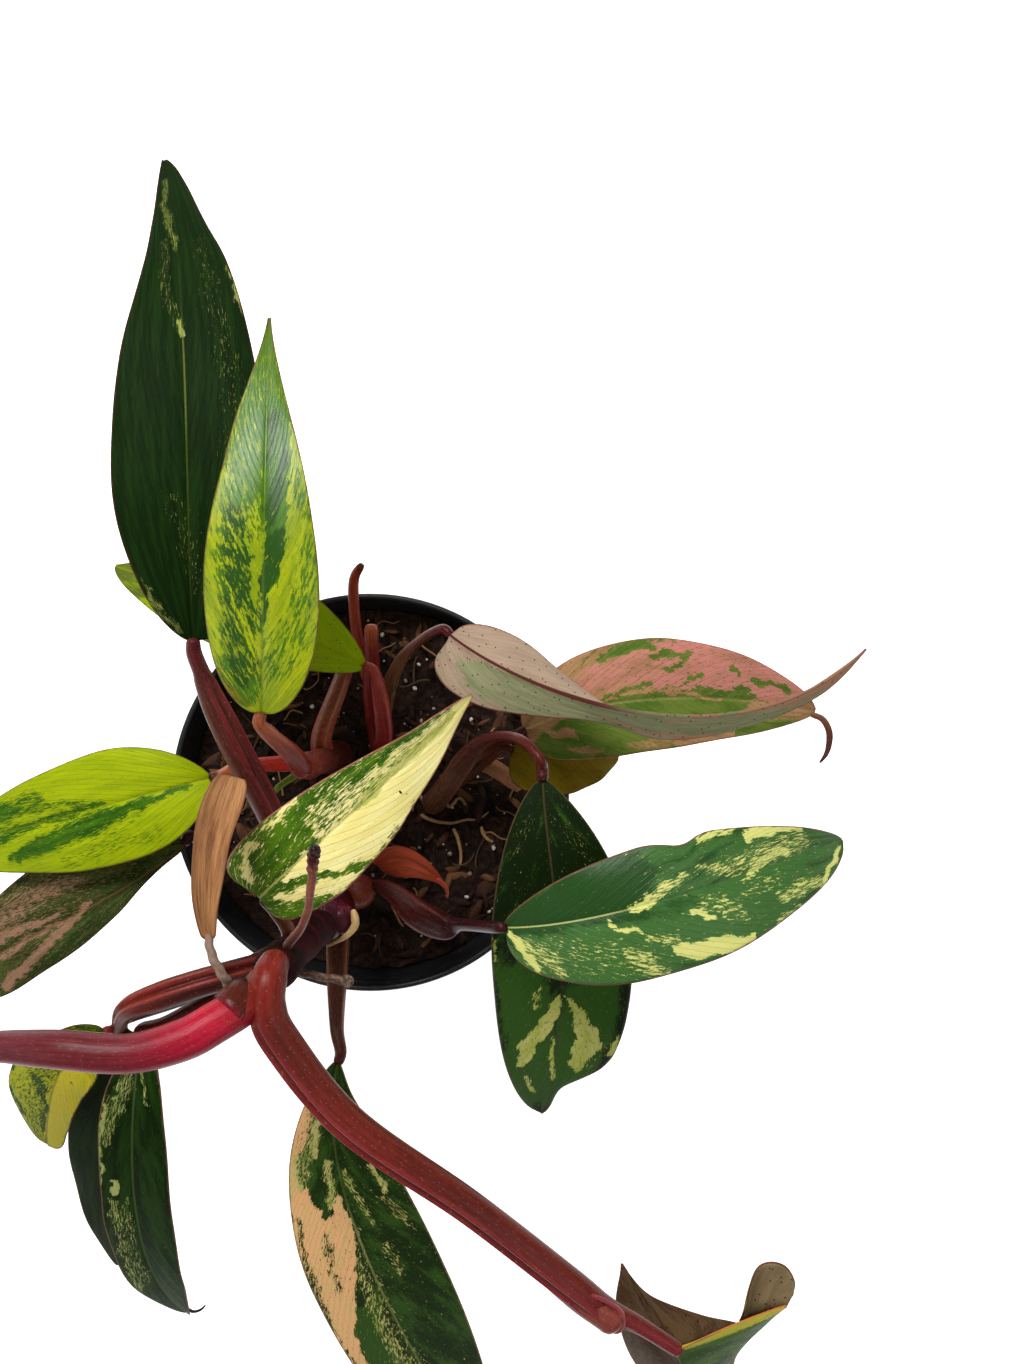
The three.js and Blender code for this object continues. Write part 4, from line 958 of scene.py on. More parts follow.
MARKINGS = {
    "leaf_01": dict(
        greens=FOREST, pale=(rgb(122, 134, 50), rgb(146, 150, 84)), rib=rgb(84, 92, 40), sweep=0.8,
        ground=(-0.4, -0.5, 0.55), wave=(0.8, 3, 0.4), gloss=0.5, sheen=0.025, specks=0.3, rib_width=0.4,
        rib_line=((0, 0), (0.1, 0.12), (0.3, 0.25), (0.42, 0.45), (0.47, 0.9), (0.6, 0.9), (0.66, 0.1),
                  (1, 0)),
        strokes=(
            ("p", 0.3, (95, -30, 0.8), (90, -36, 1.5), (84, -24, 1.6), (78, -2, 1.1)),
            ("p", 0.1, (80, -40, 1.4), (74, -38, 2.4), (68, -22, 2.6), (62, -6, 1.6)),
            ("P", 1, (64.5, -10, 0.8), (61.2, -4, 0.8)),
            ("p", -0.02, (80, 60, 3), (50, 65, 5), (30, 50, 4)), ("p", -0.02, (30, -20, 4), (12, 20, 5)),
            ("p", 0.55, (75, 97, 0.7), (70, 95, 1.3), (65, 98, 0.7)),
            ("p", 0.3, (14, -92, 1), (8, -88, 1.4), (2, -60, 1.4)))),
    "leaf_02": dict(
        greens=LIME_GREENS, pale=(rgb(148, 158, 4), rgb(116, 134, 4)), tint=rgb(120, 92, 16),
        rib=rgb(84, 104, 14), margin=rgb(96, 70, 22), sweep=0.3, ground=(0.95, -0.5, 0.35), gloss=0.2,
        sheen=0.26, wave=(0.5, 2, 0.2), coarse=1.8, relief=0.02,
        rib_line=((0, 0.6), (0.2, 0.5), (0.5, 0.3), (1, 0.5)), specks=0.3,
        strokes=(
            ("p", 0.5, (75, -50, 9), (10, -50, 9)), ("d", 0.1, (100, 0, 9), (62, 10, 14)),
            ("p", 0.2, (100, 0, 5), (88, 0, 8), (78, 0, 11), (66, -35, 7), (56, -40, 6)),
            ("P", -0.1, (76, 30, 4.6), (66, 28, 4.2), (58, 25, 3.6), (50, 23, 3.5), (45, 20, 3.1),
             (40, 16, 2.5), (35, 10, 1.6), (30, 5, 0.9), (22, 2, 0.6)),
            ("d", 0.5, (74, 30, 4), (60, 28, 4.5), (50, 25, 4.5)),
            ("d", 0.85, (44, 20, 3.6), (25, 0, 1.5)),
            ("p", 0.28, (52, -60, 3.2), (43, -60, 4.2), (34, -55, 4)),
            ("p", 0.4, (62, 80, 2), (50, 80, 2)),
            ("p", 0.25, (40, -30, 2.6), (30, -45, 4.6), (20, -35, 4.2)),
            ("d", 0.85, (50, -55, 5), (30, -40, 6), (10, -40, 5)),
            ("p", 0.2, (14, -55, 4.6), (5, -40, 4.6)), ("p", 0.9, (44, -13, 1.5), (30, -12, 1.4)),
            ("p", 0.85, (34, -92, 1.3), (22, -96, 1.3)), ("p", 0.75, (60, -93, 1.6), (50, -95, 1.6)),
            ("p", 0.7, (26, -42, 1.2), (18, -20, 1.2)),
            ("t", 0.5, (15, -95, 1.2), (8, -90, 1.6), (2, -60, 1.4)),
            ("p", 0.42, (45, 90, 2.4), (36, 82, 3.6), (27, 68, 3.8), (18, 42, 3.2), (10, 20, 2.2)),
            ("p", 0.55, (24, 80, 3), (12, 60, 3)))),
    # leaf_03's lime tones are its own colour made lighter still: painted light that offsets the shadow
    # leaf_02 casts on it.
    "leaf_03": dict(
        greens=(rgb(96, 120, 6), rgb(108, 134, 8)), pale=(rgb(118, 142, 4), rgb(130, 152, 6)),
        rib=rgb(130, 132, 16), margin=rgb(104, 84, 30), sweep=0.3, ground=(1, -0.5, 0.5), specks=0.7,
        tint=rgb(80, 94, 30), strokes=(("T", 1.1, (88, 0, 9), (100, 0, 9)),)),
    "leaf_04": dict(
        greens=(rgb(36, 78, 12), rgb(66, 104, 14)), pale=(rgb(152, 168, 8), rgb(136, 154, 8)),
        rib=rgb(120, 136, 20), margin=rgb(106, 84, 30), sweep=0.7, ground=(1, -0.5, 0.55), gloss=0.4,
        sheen=0.05, specks=0.3, rib_line=((0, 0.7), (0.2, 0.4), (1, 0.2)),
        strokes=(
            ("p", 0.62, (20, -78, 2.4), (34, -66, 3.4), (50, -80, 3)),
            ("p", 0.3, (55, 50, 4), (70, 50, 5)),
            ("p", -0.02, (6, -5, 0.6), (11, -8, 1), (20, -12, 1.7), (30, -14, 2.5), (40, -25, 4.2),
             (50, -32, 4.2), (60, -53, 3), (66, -68, 1.4)), ("p", 0.6, (24, -30, 1), (38, -52, 1.4)),
            ("p", 0.16, (35, 3, 1), (45, 4, 1.7), (53, 2, 2), (62, -6, 2.4), (74, -20, 4)),
            ("p", 0.36, (40, 12, 0.8), (50, 30, 1.4), (57, 42, 1.8)),
            ("p", 0, (60, 48, 1.2), (66, 58, 3), (74, 50, 4)), ("p", 0.1, (76, -10, 4), (92, 10, 6)),
            ("p", 0.9, (68, 0, 1), (86, 30, 1.6)))),
    "leaf_05": dict(
        greens=(rgb(44, 78, 10), rgb(74, 108, 18)), pale=(rgb(216, 202, 122), rgb(224, 214, 146)),
        tint=rgb(158, 164, 74), rib=rgb(160, 158, 84), margin=rgb(150, 88, 76), sweep=0.6,
        ground=(0.12, -0.5, 0.55), rib_line=((0, 0.9), (0.3, 0.8), (0.36, 0.2), (1, 0.1)), gloss=0.42,
        sheen=0.04, specks=0.3, coarse=1.3,
        strokes=(
            ("p", 1.2, (14, 10, 1), (24, 22, 3), (34, 40, 5.2), (46, 50, 8), (60, 52, 8.5), (75, 52, 7),
             (90, 50, 4), (100, 50, 2)),
            ("P", 1.2, (20, 7, 1), (32, 10, 1.6), (50, 12, 2), (70, 12, 2), (95, 10, 1)),
            ("T", 0.72, (50, -6, 0.9), (60, -10, 1.5), (75, -12, 1.8), (92, -10, 1)),
            ("p", 0.95, (6, 36, 0.9), (15, 53, 1.6), (24, 68, 2), (33, 90, 2), (40, 100, 1.6)),
            ("p", 0, (4, 6, 0.8), (13, 20, 1.2), (24, 46, 1.3), (34, 73, 1.3), (44, 98, 1.5)),
            ("p", 0.4, (50, 97, 1.4), (66, 98, 1.2)),
            ("p", 0, (0, 60, 1.6), (7, 85, 2), (15, 92, 1.6), (21, 100, 1)),
            ("p", 0, (12, -30, 3), (30, -50, 4), (36, -70, 3)),
            ("p", 0.8, (4, -38, 0.9), (8, -56, 1.3), (13, -75, 1.3), (19, -80, 1.1)),
            ("p", 0.75, (24, -87, 0.9), (30, -91, 1.1), (38, -98, 1)),
            ("p", 0.36, (36, -35, 2), (45, -50, 3), (55, -50, 2.6)),
            ("p", 0.52, (34, -10, 1.4), (42, -20, 2.2), (54, -28, 2.6), (66, -36, 2.2)),
            ("p", 0, (56, -60, 1.8), (66, -68, 1.8), (78, -80, 1.6), (88, -80, 1)),
            ("p", 0.58, (60, -40, 1.4), (70, -50, 1.4), (80, -50, 1.3), (90, -50, 1)),
            ("S", 1, (65, 36, 0.6)), ("S", 0.8, (67, 62, 0.55)))),
    "leaf_06": dict(
        greens=(rgb(36, 52, 18), rgb(60, 78, 34)), pale=(rgb(92, 84, 42), rgb(104, 84, 50)),
        tint=rgb(150, 112, 90), rib=rgb(112, 80, 56), sweep=0.5, ground=(0.3, 0.1, 0.6),
        strokes=(
            ("p", -0.2, (0, 10, 5), (28, -10, 5)), ("p", -0.3, (30, -50, 4), (60, -85, 4)),
            ("t", 0.95, (38, 3, 0.7), (44, -5, 1.5), (50, -24, 1.2), (56, -42, 1.9), (63, -62, 2.4),
             (70, -74, 1.8)), ("t", 0.56, (36, 40, 2), (46, 55, 4), (58, 62, 5), (70, 50, 4)),
            ("t", 0.85, (48, 14, 1), (56, 20, 1.6), (66, 30, 2.2), (76, 30, 3)),
            ("t", 0.7, (47, -2, 0.9), (58, 0, 1.6), (70, -12, 1.4)),
            ("t", -0.2, (60, -30, 1.8), (72, -40, 2.6)), ("t", 0.5, (80, 0, 6), (100, 0, 6)))),
    "leaf_07": dict(
        greens=(rgb(24, 48, 6), rgb(44, 76, 10)), pale=(rgb(172, 172, 22), rgb(152, 160, 18)),
        tint=rgb(184, 168, 36), rib=rgb(104, 108, 30), ground=(0.75, -0.5, 0.5), gloss=0.5, sheen=0.02,
        strokes=(
            ("T", 1.1, (42, -50, 5), (55, -50, 5.6), (70, -50, 5), (85, -50, 4.6), (96, -50, 3)),
            ("p", 0.12, (50, 12, 1.8), (55, 36, 2.4), (59, 46, 1.8)), ("S", 0.7, (52, -45, 0.4)),
            ("p", 0.5, (35, 50, 6), (95, 50, 5)), ("p", 0.12, (65, 36, 2.2), (69, 14, 1.8)),
            ("p", 0.1, (72, 4, 1), (82, 7, 1.3), (92, 10, 1.2)),
            ("p", 0.1, (40, 100, 1.8), (60, 100, 1.8), (72, 100, 1)),
            ("p", 0.1, (80, 90, 1.2), (90, 80, 1.8)), ("p", 0.05, (0, 10, 7), (26, 40, 7)))),
    "leaf_08": dict(
        greens=PINE, pale=(rgb(146, 158, 84), rgb(166, 170, 100)), rib=rgb(78, 92, 52),
        margin=rgb(112, 78, 62), sweep=0.3, ground=(-0.3, -0.5, 0.5), gloss=0.5, sheen=0.015,
        strokes=(
            ("p", 0.36, (10, 30, 2.6), (18, 46, 3.2), (27, 62, 3.2), (34, 74, 2.2)),
            ("p", 0.8, (20, 100, 0.8), (30, 95, 0.9), (40, 93, 0.8), (48, 95, 0.6)),
            ("P", 1, (45.5, 55, 0.8), (49, 58, 0.5)),
            ("p", 0.3, (50, 24, 0.9), (58, 26, 1.4), (66, 30, 1.4)),
            ("p", 0.38, (51, 62, 2), (60, 56, 2.6), (68, 60, 2.6), (76, 72, 2.2), (86, 90, 1.2)),
            ("p", 0.2, (60, 40, 3), (80, 40, 3)), ("p", 0.45, (8, -30, 0.7), (20, -45, 0.7)))),
    "leaf_09": dict(
        greens=(rgb(16, 32, 8), rgb(28, 48, 12)), pale=(rgb(80, 94, 42), rgb(80, 94, 42)),
        rib=rgb(50, 60, 26), sweep=0.5, gloss=0.5, sheen=0.015),
    "leaf_10": dict(
        greens=(rgb(26, 44, 14), rgb(48, 76, 26)), pale=(rgb(158, 164, 84), rgb(190, 180, 110)),
        tint=rgb(222, 170, 118), rib=rgb(120, 124, 70), margin=rgb(140, 110, 80), sweep=0.25,
        ground=(-0.15, -0.5, 0.6), specks=0.4,
        rib_line=((0, 0.2), (0.45, 0.2), (0.52, 0.9), (0.64, 0.6), (1, 0.3)),
        strokes=(
            ("p", 1.2, (10, 88, 3), (20, 86, 4), (30, 84, 4.6), (40, 90, 3)),
            ("p", 0.8, (16, 50, 2), (24, 42, 2.2), (30, 40, 1.2)),
            ("T", 1.1, (37, 80, 2.6), (43, 78, 4.4), (48, 66, 7.4), (54, 58, 9), (60, 64, 7),
             (66, 74, 5.2), (72, 86, 3.4), (80, 90, 3), (92, 90, 3)),
            ("T", 1, (42, 12, 1.2), (47, 16, 2.2), (53, 18, 2.6), (60, 40, 3.4)),
            ("t", 0.75, (12, 92, 2), (20, 88, 3.2), (30, 84, 4.2), (38, 82, 3)),
            ("t", 0.4, (50, 50, 1.2), (62, 60, 1.4)),
            ("p", 0.3, (17, 66, 1.6), (27, 68, 2.4), (37, 70, 1.6)), ("d", -0.2, (16, 70, 3), (38, 70, 3)),
            ("t", -0.4, (30, 68, 2.4), (38, 72, 1.4)),
            ("P", -0.2, (29, 28, 0.6), (35, 42, 1.8), (41, 46, 2), (46, 40, 0.9)),
            ("T", -0.4, (29, 28, 0.6), (35, 42, 1.8), (41, 46, 2), (46, 40, 0.9)),
            ("p", 0.6, (32, 18, 0.9), (38, 22, 1.6), (44, 26, 1.8)),
            ("t", 0.3, (45, 90, 1), (53, 90, 1.2), (60, 90, 1.4), (70, 97, 1), (80, 98, 0.9)),
            ("p", 0.36, (54, 10, 1), (62, 20, 2.4), (70, 22, 3), (80, 26, 3.2), (90, 30, 3)),
            ("d", -0.1, (68, 50, 4), (90, 50, 5)),
            ("p", 0.75, (36, -60, 0.8), (41, -68, 1.3), (44, -70, 0.9)),
            ("p", 0.4, (36, -8, 0.9), (44, -22, 1.4), (51, -28, 1)),
            ("p", 0.28, (45, -60, 1.6), (54, -78, 1.8)), ("p", 0.26, (56, -35, 2.2), (63, -38, 2)),
            ("p", 0.15, (50, 2, 1.6), (90, 2, 2.4)), ("S", 1, (70, -55, 0.4)))),
    # leaf_11's dark green is its own dark green made darker still: painted shade for the shade the leaf
    # lies in.
    "leaf_11": dict(
        greens=(rgb(16, 30, 8), rgb(42, 76, 18)), pale=(rgb(156, 164, 70), rgb(178, 176, 98)),
        rib=rgb(66, 54, 34), margin=rgb(84, 64, 44), sweep=0.35, ground=(-0.2, -0.5, 0.85), gloss=0.4,
        sheen=0.05, wave=(0.6, 2.5, 1), rib_line=((0, 0.8), (0.34, 0.8), (0.5, 0.3), (1, 0.5)),
        strokes=(
            ("P", 0.85, (65, 4, 0.8), (69, 14, 2.4), (74, 32, 3), (79, 50, 3), (83, 64, 2.2), (86, 70, 1)),
            ("P", 0.85, (65, -6, 0.6), (69, -22, 2), (73, -38, 3.2), (78, -50, 4.4), (83, -50, 4.4)),
            ("d", 0, (60, 60, 10), (90, 50, 10)), ("d", 0, (62, -50, 10), (90, -50, 10)),
            ("P", -0.2, (73, 0, 1.4), (80, -4, 1.2)), ("p", 0, (78, -78, 1.6), (86, -72, 1.8)),
            ("p", 0.9, (75, -94, 1), (80, -95, 1.8)), ("p", 0.8, (77, 10, 0.8), (84, 8, 1), (88, 4, 0.8)),
            ("p", 0.7, (89, 60, 1), (93, 50, 1.2)),
            ("p", -0.02, (13, -42, 1.6), (20, -60, 2.2), (27, -68, 2)),
            ("p", -0.02, (12, 50, 1.6), (22, 76, 1.6)), ("p", 0.7, (46, 97, 0.7), (54, 97, 0.8)),
            ("p", 0.4, (62, 30, 1.2), (68, 42, 1.4)))),
    "leaf_12": dict(
        greens=GRASS, pale=(rgb(206, 204, 118), rgb(196, 200, 110)), rib=rgb(180, 186, 112),
        margin=rgb(112, 68, 52), sweep=0.45, ground=(-0.12, -0.5, 0.4), gloss=0.3, sheen=0.2,
        wave=(0.5, 3, 2), specks=0.2, coarse=1.3, rib_width=0.36,
        rib_line=((0, 0.8), (0.3, 0.8), (0.38, 0.5), (0.45, 0), (1, 0)),
        strokes=(
            ("d", 1.1, (5, -40, 8), (40, -45, 9)), ("d", 0, (10, 70, 8), (50, 60, 8), (80, 30, 8)),
            ("p", -0.3, (10, -50, 7), (40, -55, 8)), ("p", 0.1, (10, 40, 4), (30, 60, 6), (42, 75, 5)),
            ("p", 0.95, (1, 30, 1), (4, 45, 1.8), (7, 75, 1.6), (10, 90, 1)),
            ("p", 0.4, (8, 45, 2.2), (13, 62, 3), (17, 92, 2.2)),
            ("p", 0.75, (33, 12, 0.8), (37, 24, 1.3), (41, 33, 1)),
            ("p", 0.95, (40, 0, 1.2), (44, -6, 1.9), (47, -13, 1.4)),
            ("p", 0.58, (47, -13, 1.6), (52, -25, 1.8), (56, -36, 1.2)),
            ("p", 0.95, (55.5, 24, 1), (58.5, 34, 1.7), (61, 42, 0.9)),
            ("p", 0.42, (42, 42, 1.8), (49, 54, 2)),
            ("p", 0.28, (60, 20, 2.4), (66, 40, 3), (68, 60, 2.4)),
            ("P", 1.15, (48, 64, 1.2), (52, 74, 2.6), (58, 82, 3.2), (64, 90, 2.4), (69, 97, 1.2)),
            ("p", 0.46, (37, 58, 2.4), (41, 76, 3.2), (45, 93, 2.6)),
            ("p", 0.85, (62, -90, 1), (67, -96, 1.2), (71, -99, 0.8)),
            ("P", 1.05, (75, -82, 1.2), (80, -92, 1.8), (88, -95, 1.3)),
            ("p", 0.34, (60, -40, 1.6), (68, -20, 3), (78, -35, 4.4), (88, -50, 3)),
            ("p", 0.58, (71, 4, 1.6), (76, -10, 1.9), (83, -28, 1.7)),
            ("p", 0.45, (80, 60, 2.2), (86, 66, 2.6), (91, 78, 2)),
            ("p", 1, (92, 82, 1), (96, 74, 1.3), (98.5, 50, 0.9)),
            ("p", 0.45, (78, 96, 1.6), (84, 97, 1.6)), ("p", 0.12, (70, 20, 3), (80, 30, 3)))),
    "leaf_13": dict(
        greens=(rgb(112, 116, 82), rgb(132, 132, 98)), pale=(rgb(143, 121, 102), rgb(156, 134, 114)),
        tint=rgb(152, 108, 82), rib=rgb(76, 34, 30), margin=rgb(122, 66, 56), ground=(0, -0.5, 0.5),
        gloss=0.65, sheen=0.04, specks=0.85, rib_width=0.4, rib_size=0.5,
        rib_line=((0, 1), (0.42, 1), (0.5, 0.4), (1, 0.3)),
        strokes=(
            ("P", 1.1, (0, 70, 6.5), (20, 62, 7.2), (42, 60, 6), (50, 60, 4.5)),
            ("p", 0.9, (0, -40, 3), (5, -70, 4), (12, -95, 3.2), (22, -100, 1.6)),
            ("p", 0.8, (25, -100, 0.9), (40, -100, 0.9)),
            ("t", 0.8, (44, 20, 1.2), (60, 10, 1.4), (72, 10, 1.2)),
            ("T", 0.9, (42, -60, 0.7), (50, -75, 0.9), (60, -90, 1.2), (66, -97, 0.9)),
            ("p", 0.95, (50, -97, 0.7), (62, -98, 0.9)), ("t", 0.5, (55, -20, 0.9), (70, -20, 0.9)),
            ("T", 0.8, (66, 30, 2.4), (78, 20, 4), (88, 0, 5), (100, 0, 4)))),
    "leaf_14": dict(
        greens=(rgb(70, 96, 30), rgb(96, 112, 44)), pale=(rgb(166, 128, 88), rgb(140, 104, 70)),
        tint=rgb(186, 117, 107), rib=rgb(196, 176, 124), margin=rgb(150, 96, 76), gloss=0.5, sheen=0.04,
        specks=0.6, rib_width=0.7, rib_line=((0, 0.5), (0.25, 0.2), (1, 0)),
        strokes=(
            ("P", 1.2, (2, -55, 7.5), (15, -60, 10), (30, -58, 8.6), (42, -56, 8.4)),
            ("T", 0.85, (44, -58, 8.8), (60, -56, 9.4), (76, -54, 8.2), (90, -50, 5.5)),
            ("t", 0.62, (28, -50, 7), (42, -50, 8)),
            ("PT", -0.2, (31, -78, 0.9), (36, -87, 1.3), (44, -90, 1.6), (47.5, -87, 1)),
            ("T", 0, (46.5, -70, 0.8), (52, -74, 1.2), (58.5, -74, 1.1)),
            ("T", 0, (46.5, -52, 0.7), (52, -47, 1.1), (55, -55, 0.9), (57, -64, 0.8)),
            ("T", 0, (58, -33, 0.8), (62.5, -42, 1)), ("T", 0, (55, -20, 0.5), (57.5, -29, 0.5)),
            ("T", 0, (70.5, -62, 1.1), (73.5, -60, 1.1)), ("T", 0, (68, -24, 0.6)),
            ("T", 0, (78.5, -56, 1.3), (81.5, -46, 1.2), (84, -62, 1), (90, -60, 0.9)),
            ("T", 0, (72.5, -22, 0.8), (77.5, -25, 0.9)),
            ("P", 0, (46.5, -70, 1.2), (60, -74, 1.6), (60, -40, 2.2), (84, -60, 1.6), (75, -25, 1.4)),
            ("p", 0.2, (24, -80, 0.5), (27, -93, 0.5), (31, -94, 0.5)),
            ("p", 0.35, (38, -52, 0.5), (44, -62, 0.4)),
            ("PT", 0, (30, -2, 1.2), (40, -6, 2), (50, -7, 2.3), (58, -4, 1.4)),
            ("PT", 0, (60, -12, 0.9), (70, -11, 1.2), (79, -11, 0.9)),
            ("PT", 0, (31, -12, 0.7), (38, -20, 0.8), (46, -27, 0.7)),
            ("P", 1.1, (29, -5, 0.3), (36, -10, 0.35), (46, -15, 0.35), (58, -15, 0.35)),
            ("P", 1.1, (52, -10, 0.5), (60, -4, 0.6), (68, 2, 0.5)),
            ("P", 1.1, (7, 22, 0.8), (11, 36, 1.3), (16.5, 43, 1.5), (19, 50, 0.8)),
            ("p", 0.75, (14, 74, 0.9), (20, 80, 1.4), (27, 86, 1.2)),
            ("p", 0.62, (38, 85, 2), (50, 86, 2.8)),
            ("P", 1.1, (54, 90, 1.6), (64, 90, 2.4), (72, 90, 2.2)), ("p", 0.9, (80, 30, 4), (100, 0, 5)),
            ("p", 0.8, (2, -10, 1.6), (10, 0, 1), (16, 5, 0.7)), ("d", -0.2, (40, 70, 5), (55, 60, 5)))),
    "leaf_15": dict(
        greens=(rgb(84, 74, 8), rgb(100, 88, 12)), pale=(rgb(112, 92, 12), rgb(104, 84, 14)),
        tint=rgb(130, 84, 44), rib=rgb(120, 96, 30), ground=(0.6, -0.2, 0.5)),
    "leaf_17": dict(
        greens=PINE, pale=(rgb(160, 166, 84), rgb(176, 174, 100)), rib=rgb(90, 94, 50), sweep=0.45,
        ground=(0.05, -0.5, 0.5), wave=(0.8, 2.5, 0.5),
        strokes=(
            ("p", 0.7, (20, -10, 1.5), (35, -40, 3), (50, -80, 3)),
            ("p", 0.9, (45, 20, 1.5), (60, 50, 3), (70, 80, 2.4)),
            ("p", 0.6, (62, -10, 1.6), (80, -40, 2.6)), ("p", 0.5, (10, 30, 2), (30, 80, 3)),
            ("p", 0.7, (85, 10, 2), (95, 20, 1.6)))),
}


def faded(colour, share):
    """An underside version of a colour: mixed with a dull reddish brown."""
    return tuple(share * c + (1 - share) * b for c, b in zip(colour, BARE))


FINISH_MARKS = ("gloss", "sheen", "rib_width", "specks", "coarse")
UNDERSIDE_RIB = rgb(112, 60, 48)
UNDERSIDE_SHARE = 0.72
SHIFT_STEP = 13.7


def leaves():
    """A blade for each set of markings; the folded leaf shows its underside to the camera."""
    for number, (name, marks) in enumerate(MARKINGS.items()):
        colours = (*marks["greens"], *marks["pale"], marks.get("tint", BARE))
        margin = marks.get("margin", MARGIN)
        shade = tuple(0.5 * c for c in colours[0][:3]) + (1.0,)
        shift = SHIFT_STEP * number
        touch = {key: marks[key] for key in FINISH_MARKS if key in marks}
        low = [faded(c, UNDERSIDE_SHARE) for c in colours]
        faces = [
            leaf_skin(name + "_upper", shift, *colours, marks["rib"], margin, shade, **touch),
            leaf_skin(name + "_under", shift, *low, UNDERSIDE_RIB, margin, shade,
                      gloss=0.6, sheen=0.05, rib_width=0.9, specks=0.3)]
        if name == "leaf_13":
            faces.reverse()
        make(name + "_blade", faces, [blade_part(name, marks)], 0, [name])


def sheath(name, look):
    """A papery sheath as a piece: a small blade without side veins, the same on both faces."""
    marks = dict(sweep=0.1, wave=(0.25, 2.0, 0.4), rib_size=0.2, relief=0.0)
    part = blade_part(name, marks, rows=60, half_columns=10, groove=0.1)
    make(name.replace("cataphyll_", "") + "_sheath_leaf", [look, look], [part], 0, [name])


